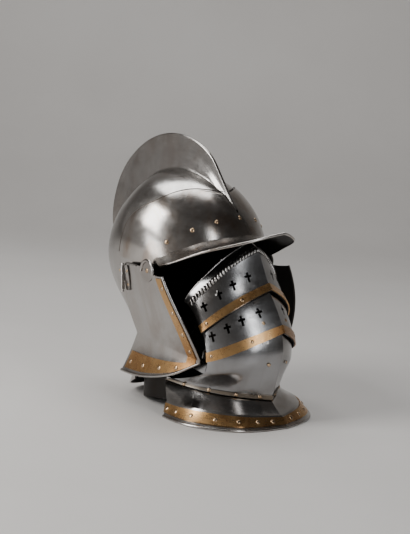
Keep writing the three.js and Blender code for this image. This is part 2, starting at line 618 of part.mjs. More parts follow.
const gorgetBorder = join([
  plate(borderGrid, GORGET_IN, GAP + BRASS + 0.25, GAP + 0.25),
  ...gorgetHeads.map(({ p, n }) => head(p.clone().addScaledVector(n, GAP + 0.25), n, RIVET_R, BRASS + RIVET_H, -0.2)),
]);
add('gorget_border', gorgetBorder, BRASS_LOOK);

const bandGrid = [0.82, 0.91, 1].map((t) => chinLow.map((p, j) => p.clone().lerp(neckRow[j], t)));
const bandNormals = gridNormals(bandGrid, INSIDE)[1];
const CHIN_MID = PLAN_Q.length - 1;
const bandHeads = [1, 2.9, 4.7, 6.4].flatMap((step) => [-1, 1].map((side) => {
  const t = CHIN_MID + side * step;
  const i = Math.floor(t);
  const p = bandGrid[1][i].clone().lerp(bandGrid[1][i + 1], t - i);
  const n = bandNormals[i].clone().lerp(bandNormals[i + 1], t - i).normalize();
  return head(p.addScaledVector(n, GAP + 0.35), n, 2.6, BRASS + RIVET_H * 0.6, -0.2);
}));
add('neck_band', join([plate(bandGrid, INSIDE, GAP + BRASS + 0.35, GAP + 0.35), ...bandHeads]), BRASS_LOOK);

// Rear collar plate: its ends lie inside the gorget's neck, and it runs round inside the nape.
const collarLine = (c, lift) => mirror([
  vec(0, c.back, c.z + lift[4]), vec(c.turn * 0.55, c.back * 0.78 + c.turnY * 0.22, c.z + (lift[3] + lift[4]) / 2),
  vec(c.turn, c.turnY, c.z + lift[3]), vec(c.side, c.sideY, c.z + lift[2]), vec(c.frontX, c.frontY, c.z + lift[1]),
  vec(c.endX, c.endY, c.z + lift[0]),
]);
const LEVEL = [0, 0, 0, 0, 0];
const collarRows = [
  collarLine(COLLAR[0], LEVEL), collarLine(COLLAR[1], LEVEL),
  collarLine(COLLAR[2], COLLAR_LOW.map((z) => z - COLLAR[2].z)),
];
add('rear_collar', plate(collarRows, vec(0, 0, 20), 0, -LAME_WALL).intersect(floorSlab), DARK_STEEL);

// Loose rivets of the lames, and the two spring catches.
const PLATE_RIVETS = [
  { name: 'middle_lame_rivet', spec: MIDDLE, angle: 29.8, share: 0.27 },
  { name: 'chin_rivet', spec: CHIN, angle: 3.2, share: 0.22 },
];
for (const { name, spec, angle, share } of PLATE_RIVETS) {
  for (const [side, label] of [[-1, 'right'], [1, 'left']]) {
    const { p, n } = surface(spec, angle, qOf(share), side);
    add(`${name}_${label}`, head(p.addScaledVector(n, GAP), n, 2.6, 1, 0), BRASS_LOOK);
  }
}
const CATCH_H = 1.2;
const CATCHES = [
  { name: 'upper_catch', spec: MIDDLE, angle: 43.5, share: 0.27 },
  { name: 'lower_catch', spec: CHIN, angle: 18.8, share: 0.29 },
];
for (const { name, spec, angle, share } of CATCHES) {
  const { p, n, up } = surface(spec, angle, qOf(share), -1);
  const side = vec(0, 0, 0).crossVectors(n, up).normalize();
  add(name, block(p.addScaledVector(n, GAP + CATCH_H / 2), side, up, n, 8.5, 4, CATCH_H), STEEL);
}

// Pivots of the buffe, and the plain inner arms that carry it from the skull.
const ARM_PAD = { y: 31, z: 207, thick: 4, wide: 12, tall: 22 };
const skullHalf = (z) => lookUp(SKULL_RINGS.map((row) => [row.z, row.half]), z);
const padX = skullHalf(ARM_PAD.z - ARM_PAD.tall / 2) - WALL - GAP - ARM_PAD.thick / 2 - 0.2;
for (const [sign, label] of [[-1, 'right'], [1, 'left']]) {
  const level = (spec) => spec.half * (1 - PLAN_Q[PLAN_Q.length - 1] ** PLAN_POWER);
  const pinIn = level(CHIN) - ARM_LEVEL + 0.6 - LAME_WALL / 2 - 6.3;
  const pinOut = level(UPPER) - ARM_LEVEL + LAME_WALL / 2 + 0.4;
  const round = (x0, x1, r) => disk(vec((sign * (x0 + x1)) / 2, PIVOT.y, PIVOT.z), r, (x1 - x0) / 2, 12);
  const pivot = join([round(pinIn, pinOut + 0.2, 3), round(pinOut, pinOut + 0.9, 4.5), round(pinIn - 0.8, pinIn + 0.4, 5)]);
  add(`${label}_buffe_pivot`, pivot, STEEL);
  const foot = vec(sign * (level(CHIN) - 5.7), PIVOT.y, PIVOT.z);
  const top = vec(sign * (padX - 1.5), ARM_PAD.y - 6, ARM_PAD.z - 10);
  const along = top.clone().sub(foot).normalize();
  const thick = vec(1, 0, 0).addScaledVector(along, -along.x).normalize();
  const wide = vec(0, 0, 0).crossVectors(thick, along);
  const length = top.distanceTo(foot);
  const armBar = block(foot.clone().lerp(top, 0.5), thick, wide, along, 2, 15, length);
  const boss = disk(foot, 9, 1.2, 16);
  const pad = block(vec(sign * padX, ARM_PAD.y, ARM_PAD.z), vec(1, 0, 0), vec(0, 1, 0), vec(0, 0, 1),
    ARM_PAD.thick, ARM_PAD.wide, ARM_PAD.tall);
  add(`${label}_inner_arm`, join([armBar, boss, pad]).subtract(disk(foot, 3.3, 4, 12)), DARK_STEEL);
}

// Cheeks, drawn shut and then turned open.
const CHEEK_COLS = 7;
function cheekGrid() {
  const rim = curve(CHEEK_RIM, CHEEK_COLS);
  const waist = curve(CHEEK_WAIST, CHEEK_COLS);
  const top = curve(CHEEK_TOP, CHEEK_COLS);
  const rows = [];
  for (const t of [0, 0.3, 0.7]) {
    rows.push(rim.map((p, j) => {
      const q = p.clone().lerp(waist[j], t);
      q.x = waist[j].x + (p.x - waist[j].x) * (1 - t) ** 1.7;
      return q;
    }));
  }
  for (const t of [0, 0.2, 0.45, 0.72, 1]) {
    rows.push(waist.map((p, j) => {
      const q = p.clone().lerp(top[j], t);
      const swell = Math.sin(Math.PI * t);
      q.x = p.x + (top[j].x - p.x) * Math.sin((Math.PI / 2) * t) - (3.7 * swell * j) / CHEEK_COLS;
      q.y += swell * (5 - (14.3 * j) / CHEEK_COLS);
      return q;
    }));
  }
  return rows;
}
const CHEEK_IN = vec(0, 0, 100);
const cheekRows = cheekGrid();
const hingeFoot = vec(HINGE.x, HINGE.y - HINGE.lean * 17, HINGE.low);
const hingeTop = vec(HINGE.x, HINGE.y + HINGE.lean * 17, HINGE.high);
const hingeAxis = hingeTop.clone().sub(hingeFoot).normalize();
function cheekAt(u, v) {
  const i = Math.min(Math.floor(v), cheekRows.length - 2);
  const j = Math.min(Math.floor(u), CHEEK_COLS - 1);
  const a = cheekRows[i][j].clone().lerp(cheekRows[i][j + 1], u - j);
  const b = cheekRows[i + 1][j].clone().lerp(cheekRows[i + 1][j + 1], u - j);
  return a.lerp(b, v - i);
}
function cheekSpot(u, v) {
  const p = cheekAt(u, v);
  const du = cheekAt(Math.min(u + 0.3, CHEEK_COLS), v).sub(cheekAt(Math.max(u - 0.3, 0), v));
  const dv = cheekAt(u, Math.min(v + 0.2, cheekRows.length - 1)).sub(cheekAt(u, Math.max(v - 0.2, 0)));
  const n = vec(0, 0, 0).crossVectors(du, dv).normalize();
  if (n.x < 0) {
    n.negate();
  }
  return { p, n };
}
const spotNear = (y, z) => {
  let best = { d: 1e9 };
  for (let u = 0; u <= CHEEK_COLS; u += 0.25) {
    for (let v = 0; v <= cheekRows.length - 1; v += 0.25) {
      const p = cheekAt(u, v);
      const d = Math.hypot(p.y - y, p.z - z);
      if (d < best.d) {
        best = { d, u, v };
      }
    }
  }
  return cheekSpot(best.u, best.v);
};
const topRow = cheekRows.length - 1;
const lugSpot = spotNear(LUG.y, LUG.z);
const lugCentre = vec(lugSpot.p.x, LUG.y, LUG.z);
const lugRing = (d) => Array.from({ length: 16 }, (_, k) => {
  const t = (k / 16) * 2 * Math.PI;
  const up = LUG.r * Math.sin(t);
  return vec(lugCentre.x + d - Math.max(up, 0) * 0.02, lugCentre.y + LUG.r * Math.cos(t), lugCentre.z + up);
});
const lug = loft([lugRing(-WALL + 0.4), lugRing(0.4)]);
const lugEdge = bar(Array.from({ length: 13 }, (_, k) => {
  const t = rad(-12 + (204 * k) / 12);
  return vec(lugCentre.x - 0.2, lugCentre.y + (LUG.r - 0.6) * Math.cos(t), lugCentre.z + (LUG.r - 0.6) * Math.sin(t));
}), 1.7);
const frontEdge = cheekRows.slice(3).map((row) => row[CHEEK_COLS].clone());
const rimPath = [...cheekRows[0].map((p) => p.clone())];
const cornerPath = [rimPath[CHEEK_COLS], cheekRows[1][CHEEK_COLS], frontEdge[0], frontEdge[1]];
const rims = (r) => join([bar(frontEdge, r), bar(rimPath, r), bar(cornerPath, r)]);
const cheekPlate = join([plate(cheekRows, CHEEK_IN, 0, -WALL), rims(RIM_R), lug, lugEdge]);
const stripCols = [CHEEK_COLS - 0.22, CHEEK_COLS - 0.6, CHEEK_COLS - 1];
const frontStrip = [3.1, 3.5, 4, 4.5, 5, 5.5, 6, topRow - 0.08].map((v) => stripCols.map((u) => cheekAt(u, v)));
const flangeStrip = [0.3, 1, 1.6].map((v) => Array.from({ length: CHEEK_COLS + 1 }, (_, i) => (
  cheekAt(Math.min(Math.max(i, 0.3), CHEEK_COLS - 0.22), v)
)));
const cornerStrip = [0.3, 1, 2, 3, 3.5].map((v) => stripCols.map((u) => cheekAt(u, v)));
const borderHeads = [
  ...[3.4, 4.4, 5.45, 6.5].map((v) => [CHEEK_COLS - 0.55, v]), ...[0.7, 2.25, 3.8, 5.35].map((u) => [u, 0.9]),
].map(([u, v]) => {
  const { p, n } = cheekSpot(u, v);
  return head(p.addScaledVector(n, GAP + 0.4), n, RIVET_R, BRASS + RIVET_H, -0.2);
});
const BORDER_UP = GAP + 0.4;     // clears the facets of the curved cheek
const cheekBorder = join([
  plate(frontStrip, CHEEK_IN, BORDER_UP + BRASS, BORDER_UP), plate(flangeStrip, CHEEK_IN, BORDER_UP + BRASS, BORDER_UP),
  plate(cornerStrip, CHEEK_IN, BORDER_UP + BRASS, BORDER_UP), ...borderHeads,
]).subtract(rims(RIM_R + GAP + 0.08));
const lugRivet = head(vec(lugCentre.x + 0.4 + GAP, lugCentre.y, lugCentre.z), vec(1, 0, 0), RIVET_R, RIVET_H, 0);

// Hinge: three knuckles on a pin, a leaf on the skull and a leaf on the cheek.
const hingeSide = vec(1, 0, 0);
const hingeBack = vec(0, 0, 0).crossVectors(hingeAxis, hingeSide).normalize();
const onAxis = (t) => hingeFoot.clone().lerp(hingeTop, t);
const barrel = (t0, t1, r, sides = 10) => {
  const ring = (t) => Array.from({ length: sides }, (_, k) => {
    const a = (k / sides) * 2 * Math.PI;
    return onAxis(t).addScaledVector(hingeSide, r * Math.cos(a)).addScaledVector(hingeBack, r * Math.sin(a));
  });
  return loft([ring(t0), ring(t1)]);
};
const LEAF = { wall: 1.1, near: 4.6, far: 15, rows: [0.02, 0.26, 0.5, 0.74, 0.98] };
const leafGrid = (spot, sign) => LEAF.rows.map((t) => [LEAF.near, (LEAF.near + LEAF.far) / 2, LEAF.far].map((d) => {
  const a = onAxis(t).addScaledVector(hingeBack, sign * d);
  return spot(a.y, a.z);
}));
const web = (spot, sign, t0, t1) => loft([t0, t1].map((t) => {
  const a = onAxis(t).addScaledVector(hingeBack, sign * 1.2);
  const e = onAxis(t).addScaledVector(hingeBack, sign * (LEAF.near + 0.6));
  const foot = spot(e.y, e.z);
  return [
    a.clone().add(vec(1.6, 0, 0)), foot.clone().add(vec(GAP + LEAF.wall, 0, 0)),
    foot.clone().add(vec(GAP + 0.15, 0, 0)), a.clone().add(vec(-1.2, 0, 0)),
  ];
}));
const BACKWARD = hingeBack.y > 0 ? 1 : -1;
const skullSpot = (y, z) => onSkull(1, y, z, 0).p;
const cheekSurface = (y, z) => spotNear(y, z).p;
const pinBore = barrel(-0.2, 1.2, 1.68);
const fixedLeaf = join([barrel(0.02, 0.32, BARREL_R), barrel(0.68, 0.98, BARREL_R),
  plate(leafGrid(skullSpot, BACKWARD), vec(0, 60, 170), GAP + 0.15 + LEAF.wall, GAP + 0.15),
  web(skullSpot, BACKWARD, 0.03, 0.31), web(skullSpot, BACKWARD, 0.69, 0.97)]).subtract(pinBore);
const movingLeaf = join([barrel(0.34, 0.66, BARREL_R),
  plate(leafGrid(cheekSurface, -BACKWARD), CHEEK_IN, GAP + 0.25 + LEAF.wall, GAP + 0.25),
  web(cheekSurface, -BACKWARD, 0.35, 0.65)]).subtract(pinBore).subtract(barrel(-0.05, 0.33, BARREL_R + 0.4))
  .subtract(barrel(0.67, 1.05, BARREL_R + 0.4));
const hingePin = join([barrel(-0.02, 1.02, 1.3, 10), barrel(-0.07, -0.015, 2.2, 10), barrel(1.015, 1.07, 2.2, 10)]);

const hingeRoom = barrel(-0.12, 1.12, BARREL_R + 0.5);
function toSide(shape, sign, angle) {
  // Turn about the hinge axis (right-handed about it, seen on the +x side), then mirror for -x.
  const q = new THREE.Quaternion().setFromAxisAngle(hingeAxis, rad(angle));
  const m = new THREE.Matrix4().makeTranslation(hingeFoot.x, hingeFoot.y, hingeFoot.z)
    .multiply(new THREE.Matrix4().makeRotationFromQuaternion(q))
    .multiply(new THREE.Matrix4().makeTranslation(-hingeFoot.x, -hingeFoot.y, -hingeFoot.z));
  const flip = new THREE.Matrix4().makeScale(sign, 1, 1).multiply(m);
  const mesh = shape.getMesh();
  const stride = mesh.numProp;
  const points = [];
  for (let i = 0; i < mesh.vertProperties.length; i += stride) {
    points.push(vec(mesh.vertProperties[i], mesh.vertProperties[i + 1], mesh.vertProperties[i + 2]).applyMatrix4(flip));
  }
  const triangles = [];
  for (let i = 0; i < mesh.triVerts.length; i += 3) {
    triangles.push([mesh.triVerts[i], mesh.triVerts[i + 1], mesh.triVerts[i + 2]]);
  }
  return solid(points, triangles);
}
const skull = skullShell.subtract(toSide(hingeRoom, 1, 0)).subtract(toSide(hingeRoom, -1, 0));
add('skull', skull, STEEL);
const cheekCut = cheekPlate.subtract(hingeRoom);
for (const [sign, label] of [[-1, 'right'], [1, 'left']]) {
  add(`${label}_cheek`, toSide(cheekCut, sign, CHEEK_OPEN), STEEL);
  add(`${label}_cheek_border`, toSide(cheekBorder, sign, CHEEK_OPEN), BRASS_LOOK);
  add(`${label}_lug_rivet`, toSide(lugRivet, sign, CHEEK_OPEN), BRASS_LOOK);
  add(`${label}_cheek_leaf`, toSide(movingLeaf, sign, CHEEK_OPEN), STEEL);
  add(`${label}_skull_leaf`, toSide(fixedLeaf, sign, 0), STEEL);
  add(`${label}_hinge_pin`, toSide(hingePin, sign, 0), STEEL);
}

// The whole is centred over the middle of its outline.
const CENTRE_Y = 7;
for (const { name, shape, look } of made) {
  const mesh = shape.getMesh();
  const geometry = new THREE.BufferGeometry();
  const count = mesh.vertProperties.length / mesh.numProp;
  const position = new Float32Array(count * 3);
  for (let i = 0; i < count; i += 1) {
    for (let k = 0; k < 3; k += 1) {
      position[i * 3 + k] = mesh.vertProperties[i * mesh.numProp + k];
    }
  }
  geometry.setAttribute('position', new THREE.BufferAttribute(position, 3));
  geometry.setIndex(new THREE.BufferAttribute(new Uint32Array(mesh.triVerts), 1));
  geometry.translate(0, -CENTRE_Y, 0);
  geometry.computeVertexNormals();
  const part = new THREE.Mesh(geometry, new THREE.MeshStandardMaterial(look));
  part.name = name;
  group.add(part);
}

export default group;
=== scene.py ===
import json
import math

import bpy
import numpy as np
from mathutils import Matrix, Vector


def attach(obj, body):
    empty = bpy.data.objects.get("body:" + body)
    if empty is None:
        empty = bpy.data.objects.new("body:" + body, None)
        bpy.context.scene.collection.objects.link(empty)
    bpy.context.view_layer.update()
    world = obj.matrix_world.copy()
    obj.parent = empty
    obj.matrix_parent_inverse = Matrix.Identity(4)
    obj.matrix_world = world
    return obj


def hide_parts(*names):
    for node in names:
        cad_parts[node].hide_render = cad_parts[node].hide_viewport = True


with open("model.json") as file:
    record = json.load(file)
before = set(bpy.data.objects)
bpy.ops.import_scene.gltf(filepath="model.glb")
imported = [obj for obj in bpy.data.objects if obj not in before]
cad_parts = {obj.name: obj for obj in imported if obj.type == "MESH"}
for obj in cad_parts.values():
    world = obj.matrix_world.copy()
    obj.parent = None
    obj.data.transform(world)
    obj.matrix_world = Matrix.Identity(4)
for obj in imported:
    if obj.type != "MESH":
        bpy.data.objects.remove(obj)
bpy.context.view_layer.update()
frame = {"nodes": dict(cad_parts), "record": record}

MM = 0.001
CENTRE_Y = 7.0
BODY = {n: b for b, names in frame["record"]["behaviour"]["bodies"].items() for n in names}

# Sizes of the object, in mm, in its own frame: it faces -Y and stands on z = 0.
WALL = 1.6
LAME_WALL = 1.4
GAP = 0.3
BRASS = 1.0
RIM_R = 2.0
RIVET_R = 3.2
RIVET_H = 1.3
SMALL_RIVET_R = 2.6
DOME_MID_Z = 215.0
DOME_H = 110.0
CUT_HALF = 130.0
ABOVE_FLOOR = [(-260, 0), (260, 0), (260, 420), (-260, 420)]
MIDDLE_OF_HEAD = (0, 35, 190)
UNDER_GORGET = (0, -66, -60)

# z, mid, front, back, half, sharp
SKULL_RINGS = [
    (0, 30, 110, 68, 73, 2.1), (20, 30, 110, 62, 72, 2.1), (45, 30, 110, 50, 73, 2.1),
    (66, 30, 110, 44, 75, 2.1), (84, 30, 112, 43.5, 77, 2.1), (104, 30, 112, 50, 82, 2.1),
    (126, 30, 113, 68, 89, 2.1), (150, 30, 114, 95, 95.5, 2.1), (175, 31, 115, 113, 100, 2.1),
    (200, 33, 116, 117, 102.5, 2.1), (222, 36, 115, 111, 103.5, 2.05), (242, 40, 111, 100.5, 101.5, 2),
    (262, 45, 105, 83, 96, 2), (279, 50, 97, 64, 87, 2), (293, 54, 86, 48, 75.5, 2),
    (304, 56, 72, 37, 62, 2), (313, 57, 54, 30, 46, 2), (319, 58, 35, 23, 29, 2),
    (322.5, 58, 12, 10, 10, 2),
]
# edge y and z, foot y and z
COMB = [
    (-54.5, 272.5, -47, 267), (-49, 281, -41, 273), (-42, 290, -33, 282), (-31, 304, -21, 292),
    (-17, 322.5, -7, 302), (-1, 342.5, 10, 310), (18, 356.5, 28, 315.5), (40, 365.3, 45, 318.5),
    (62, 369.3, 60, 317), (85, 369, 72, 312), (106, 364, 84, 304), (126, 355, 96, 292),
    (148, 338.5, 107, 279), (164, 321, 118, 265), (177, 299, 128, 249), (185.5, 272, 136, 231),
    (188.5, 245, 141, 213), (184, 216, 143, 196), (171, 190, 141, 180), (146, 166.5, 134, 168),
]
COMB_EDGE, COMB_WAIST, COMB_FOOT = 2.4, 3.6, 11.0
SKULL_EDGE = [
    (-46, 300), (-50, 278), (-38, 268), (-16, 240), (4, 214), (14, 204), (22, 192), (50, 189), (57.5, 186),
    (57.5, 172), (57, 158), (54.5, 137), (51.3, 120), (48, 106), (45.5, 96), (46, 72), (48, 50), (50, 27),
    (104, 0),
]
REAR_WALL = [(230, -2), (230, 400), (-46, 400)]
BROW_REAR = [
    (68, 203), (63, 232), (53, 256), (37, 272), (16, 289), (3, 298), (-9, 301), (-19, 300),
    (-31, 296), (-37, 291), (-41, 287.5),
]
BROW_LOWER = [(66, 200.5), (30, 199.5), (6, 199.5)]
BROW_IN = GAP + 0.05
PEAK_HALF, PEAK_RIM_R, PEAK_DIP = 0.9, 1.8, 5.0
BROW_RIVETS = [(-51, 262), (-36, 250), (-13, 231.5)]
# crease x, y, z, edge x, y, z
PEAK = [
    (0, -73, 246, 0, -137.5, 259), (16, -71.5, 245, 18, -131, 255), (33, -67, 243, 36, -123, 249.5),
    (50, -59, 240, 54, -112, 243.5), (66, -47.5, 235, 72, -93, 235.5), (80, -33, 228, 87, -69, 225.5),
    (92, -15, 219, 97, -41, 211.5), (99.5, 4, 209, 103.5, -13, 199.5),
]
PIVOT_Y, PIVOT_Z = -29.0, 82.0
PLAN_POWER = 4
Q_END = 0.48
FULL = 1 - Q_END ** PLAN_POWER
CREASE, HANG_FROM, STRIP_TOP, LIP_HANG = 67.0, 57.0, 73.0, 0.55
FACE_SPAN = CREASE - HANG_FROM
# share of the half width, fall of the crease in degrees
HANG = [(0, 2), (0.18, 2.1), (0.35, 2.7), (0.52, 3.5), (0.68, 4.8), (0.85, 5.8), (1, 5)]
LAME_HALF, LAME_STEP = 86.0, 4.0
UPPER = {
    "half": LAME_HALF + LAME_STEP,
    "reach": [
        (45.5, 137.5), (49.5, 138.5), (55, 144), (59.7, 151), (64, 159), (67, 165), (70, 167.5), (73, 168.5),
    ],
    "ends": [(45.5, 35.5), (49.9, 44.3), (67, 72.3), (73, 80)],
}
MIDDLE = {
    "half": LAME_HALF,
    "reach": [(19.6, 132.6), (24.6, 131.8), (35.9, 131.2), (44, 132.5), (49, 133.2)],
    "ends": [(19.6, 0), (24.6, 12), (49, 40)],
}
CHIN = {
    "half": LAME_HALF - LAME_STEP,
    "reach": [(-8, 123.4), (-4, 124.3), (3.9, 126.5), (12.9, 128), (18, 128.2), (23.5, 127.6)],
    "ends": [(-8, -24), (3.9, -16), (12.9, -9), (23.5, 3.5)],
}
ARM_LEVEL = 1.6
BAND_1 = (45.7, 49.9)
BAND_2 = (19.8, 24.6)
RIB_MID, RIB_HALF, RIB_PITCH, ROPE_SLANT = 68.3, 4.4, 5.0, 0.8
CROSS_H, CROSS_W, CROSS_BAR = 14, 10, 3.2
UPPER_CROSSES = [(57, 0.275), (57, 0.51), (57, 0.71), (57, 0.875)]
MIDDLE_CROSSES = [(36.8, 0.29), (37, 0.555), (37, 0.745), (37, 0.895)]

NECK = [(0, -142.5, 33), (20, -130, 34.5), (43, -116.5, 37), (61, -96, 39), (73, -68, 40.5), (78, -40, 42),
        (79, -18, 43)]
GORGET_MID = [(0, -162.5, 15.6), (26, -155, 17), (54, -144.5, 19), (78, -125, 21), (95, -94, 21.5),
              (97.5, -62, 20), (94, -38, 19.5)]
GORGET_RIM = [(0, -172.5, 3), (31, -167.5, 3), (61, -159, 3), (91, -137.5, 3), (110.5, -101, 3),
              (112, -68, 3), (107.5, -47, 3)]
# z, end x and y, front x and y, side x and y, turn x and y, back
COLLAR = [
    (44, 73.4, -38, 74.4, -14, 73, 14, 52, 52, 71), (27, 72.6, -30, 73, -12, 72, 14, 50.5, 50, 69.5),
    (12, 71.5, -22, 71.8, -8, 70, 13, 49.5, 49, 69.5),
]
COLLAR_LOW = [13, 12, 9, 1.5, 0.2]
CHEEK_RIM = [(88, 68.5, 38), (90.8, 38, 40), (90.2, 6.4, 44), (85.8, -26, 51.6), (76.6, -51.4, 61.8),
             (61.8, -78.4, 78.9)]
CHEEK_WAIST = [(80, 46.4, 95.6), (80.3, 22.4, 94.3), (79.8, -4.5, 92.6), (76.9, -31.6, 89.9),
               (70.8, -55.5, 86.7), (62.5, -79.5, 84)]
CHEEK_TOP = [(102.3, 54.2, 193), (103.9, 34.5, 194.8), (105.5, 15.4, 196), (106.7, -3.6, 195.5),
             (107.8, -25.2, 190.6), (108.6, -48.4, 192.8)]
CHEEK_OPEN = 12.0
HINGE_X, HINGE_Y, HINGE_LOW, HINGE_HIGH, HINGE_LEAN = 104.5, 54.0, 156.0, 190.0, 4 / 34
BARREL_R = 3.0
BARREL_GAP = 0.5
PIN_R = 1.5
LUG_Y, LUG_Z, LUG_R = -8.8, 193.8, 15.0


def spline(xs, ys):
    """A natural cubic spline through ys at xs, for one column or several."""
    xs = np.asarray(xs, float)
    ys = np.asarray(ys, float)
    flat = ys.ndim == 1
    ys = ys.reshape(len(xs), -1)
    h = np.diff(xs)
    a = np.eye(len(xs))
    b = np.zeros(ys.shape)
    for i in range(1, len(xs) - 1):
        a[i, i - 1:i + 2] = h[i - 1], 2 * (h[i - 1] + h[i]), h[i]
        b[i] = 6 * ((ys[i + 1] - ys[i]) / h[i] - (ys[i] - ys[i - 1]) / h[i - 1])
    m = np.linalg.solve(a, b)

    def at(t):
        t = np.atleast_1d(np.asarray(t, float))
        i = np.clip(np.searchsorted(xs, t) - 1, 0, len(xs) - 2)
        p = ((xs[i + 1] - t) / h[i])[:, None]
        q = ((t - xs[i]) / h[i])[:, None]
        hh = (h[i] ** 2 / 6)[:, None]
        out = p * ys[i] + q * ys[i + 1] + ((p ** 3 - p) * m[i] + (q ** 3 - q) * m[i + 1]) * hh
        return out[:, 0] if flat else out

    return at


def chord(points):
    points = np.asarray(points, float)
    return np.concatenate([[0], np.cumsum(np.linalg.norm(np.diff(points, axis=0), axis=1))])


def curve(points, n):
    s = chord(points)
    return spline(s, points)(np.linspace(0, s[-1], n))


def mirrored(half):
    """From the far end over the middle to the near end."""
    flip = half[:0:-1] * np.array([-1, 1, 1])
    return np.concatenate([flip, half])


def unit(v):
    return v / (np.linalg.norm(v, axis=-1, keepdims=True) + 1e-12)


# A solid is a pair of points in mm and faces.
def mesh_object(name, solid, smooth=32):
    points, faces = solid
    world = (np.asarray(points, float) - np.array([0, CENTRE_Y, 0])) * MM
    data = bpy.data.meshes.new(name)
    data.from_pydata(world.tolist(), [], [list(map(int, f)) for f in faces])
    data.validate()
    obj = bpy.data.objects.new(name, data)
    bpy.context.scene.collection.objects.link(obj)
    shade(obj, smooth)
    return obj


def shade(obj, smooth=32):
    data = obj.data
    data.shade_smooth()
    data.set_sharp_from_angle(angle=math.radians(smooth))


def loft(rings, close_ends=True):
    rings = np.asarray(rings, float)
    count, n = rings.shape[:2]
    points = rings.reshape(-1, 3)
    k = np.arange(n)
    faces = []
    for r in range(count - 1):
        a = r * n + k
        b = r * n + (k + 1) % n
        faces += np.stack([a, b, b + n, a + n], 1).tolist()
    if close_ends:
        faces.append(k[::-1].tolist())
        faces.append(((count - 1) * n + k).tolist())
    return outward(points, faces)


def outward(points, faces):
    """Turns all faces if the solid is inside out."""
    total = 0.0
    for f in faces:
        a = points[f[0]]
        for i in range(1, len(f) - 1):
            total += np.dot(a, np.cross(points[f[i]], points[f[i + 1]]))
    return points, ([f[::-1] for f in faces] if total < 0 else faces)


def grid_normals(grid, inside):
    du = np.gradient(grid, axis=0)
    dv = np.gradient(grid, axis=1)
    n = unit(np.cross(du, dv))
    away = np.sum(n * (grid - np.asarray(inside, float)), -1, keepdims=True)
    return np.where(away < 0, -n, n)


def plate(grid, inside, far, near, mask=None, normals=None):
    """A closed plate on a grid, between two levels, with only the masked quads."""
    grid = np.asarray(grid, float)
    if normals is None:
        normals = grid_normals(grid, inside)
    rows, cols = grid.shape[:2]
    if mask is None:
        mask = np.ones((rows - 1, cols - 1), bool)
    points = np.concatenate([(grid + normals * far).reshape(-1, 3), (grid + normals * near).reshape(-1, 3)])
    half = rows * cols
    faces = []
    for i, j in zip(*np.nonzero(mask)):
        a = i * cols + j
        quad = [a, a + 1, a + cols + 1, a + cols]
        faces.append(quad)
        faces.append([half + q for q in quad[::-1]])
        for di, dj, e0, e1 in ((-1, 0, 0, 1), (0, 1, 1, 2), (1, 0, 2, 3), (0, -1, 3, 0)):
            ni, nj = i + di, j + dj
            if 0 <= ni < rows - 1 and 0 <= nj < cols - 1 and mask[ni, nj]:
                continue
            faces.append([quad[e1], quad[e0], half + quad[e0], half + quad[e1]])
    return clean(*outward(points, faces))


def clean(points, faces):
    """Drops the points that no face uses."""
    used = sorted({i for f in faces for i in f})
    place = {old: new for new, old in enumerate(used)}
    return points[used], [[place[i] for i in f] for f in faces]


def bar(path, radius, sides=14):
    path = np.asarray(path, float)
    along = unit(np.gradient(path, axis=0))
    side = unit(np.cross(along, np.array([0.13, 0.21, 0.97])))
    up = unit(np.cross(side, along))
    t = np.linspace(0, 2 * math.pi, sides, endpoint=False)
    c, s = np.cos(t), np.sin(t)
    return loft([p + radius * (np.outer(c, a) + np.outer(s, b)) for p, a, b in zip(path, side, up)])


def turned(centre, normal, profile, sides=28):
    """A round piece on an axis: profile is a list of (radius, height)."""
    n = unit(np.asarray(normal, float))
    side = unit(np.cross(n, np.array([0.11, 0.17, 0.98])))
    up = np.cross(n, side)
    t = np.linspace(0, 2 * math.pi, sides, endpoint=False)
    rings = [
        centre + n * h + r * (np.outer(np.cos(t), side) + np.outer(np.sin(t), up)) for r, h in profile
    ]
    return loft(rings)


def dome(centre, normal, r, h, sides=28):
    steps = np.linspace(0, 0.96, 7) * math.pi / 2
    return turned(centre, normal, [(r, -0.2)] + [(r * math.cos(a), h * math.sin(a)) for a in steps], sides)


def several(solids):
    points, faces, start = [], [], 0
    for p, f in solids:
        points.append(p)
        faces += [[i + start for i in face] for face in f]
        start += len(p)
    return np.concatenate(points), faces


def block(centre, ax, ay, az, sx, sy, sz):
    ring = [(-1, -1), (1, -1), (1, 1), (-1, 1)]
    hx, hy, hz = ax * sx / 2, ay * sy / 2, az * sz / 2
    return loft([[centre + hx * i + hy * j + hz * k for i, j in ring] for k in (-1, 1)])


def side_slab(outline, x0, x1):
    outline = np.asarray(outline, float)
    return loft([[(x, y, z) for y, z in outline] for x in (x0, x1)])


def boolean(obj, solid, operation):
    tool = solid if isinstance(solid, bpy.types.Object) else mesh_object("tool", solid)
    mod = obj.modifiers.new("cut", "BOOLEAN")
    mod.operation = operation
    mod.solver = "MANIFOLD"
    mod.object = tool
    graph = bpy.context.evaluated_depsgraph_get()
    data = bpy.data.meshes.new_from_object(obj.evaluated_get(graph))
    obj.modifiers.clear()
    obj.data = data
    bpy.data.objects.remove(tool)
    return obj


# Materials
def material(name):
    mat = bpy.data.materials.new(name)
    mat.use_nodes = True
    tree = mat.node_tree
    tree.nodes.clear()
    return mat, tree


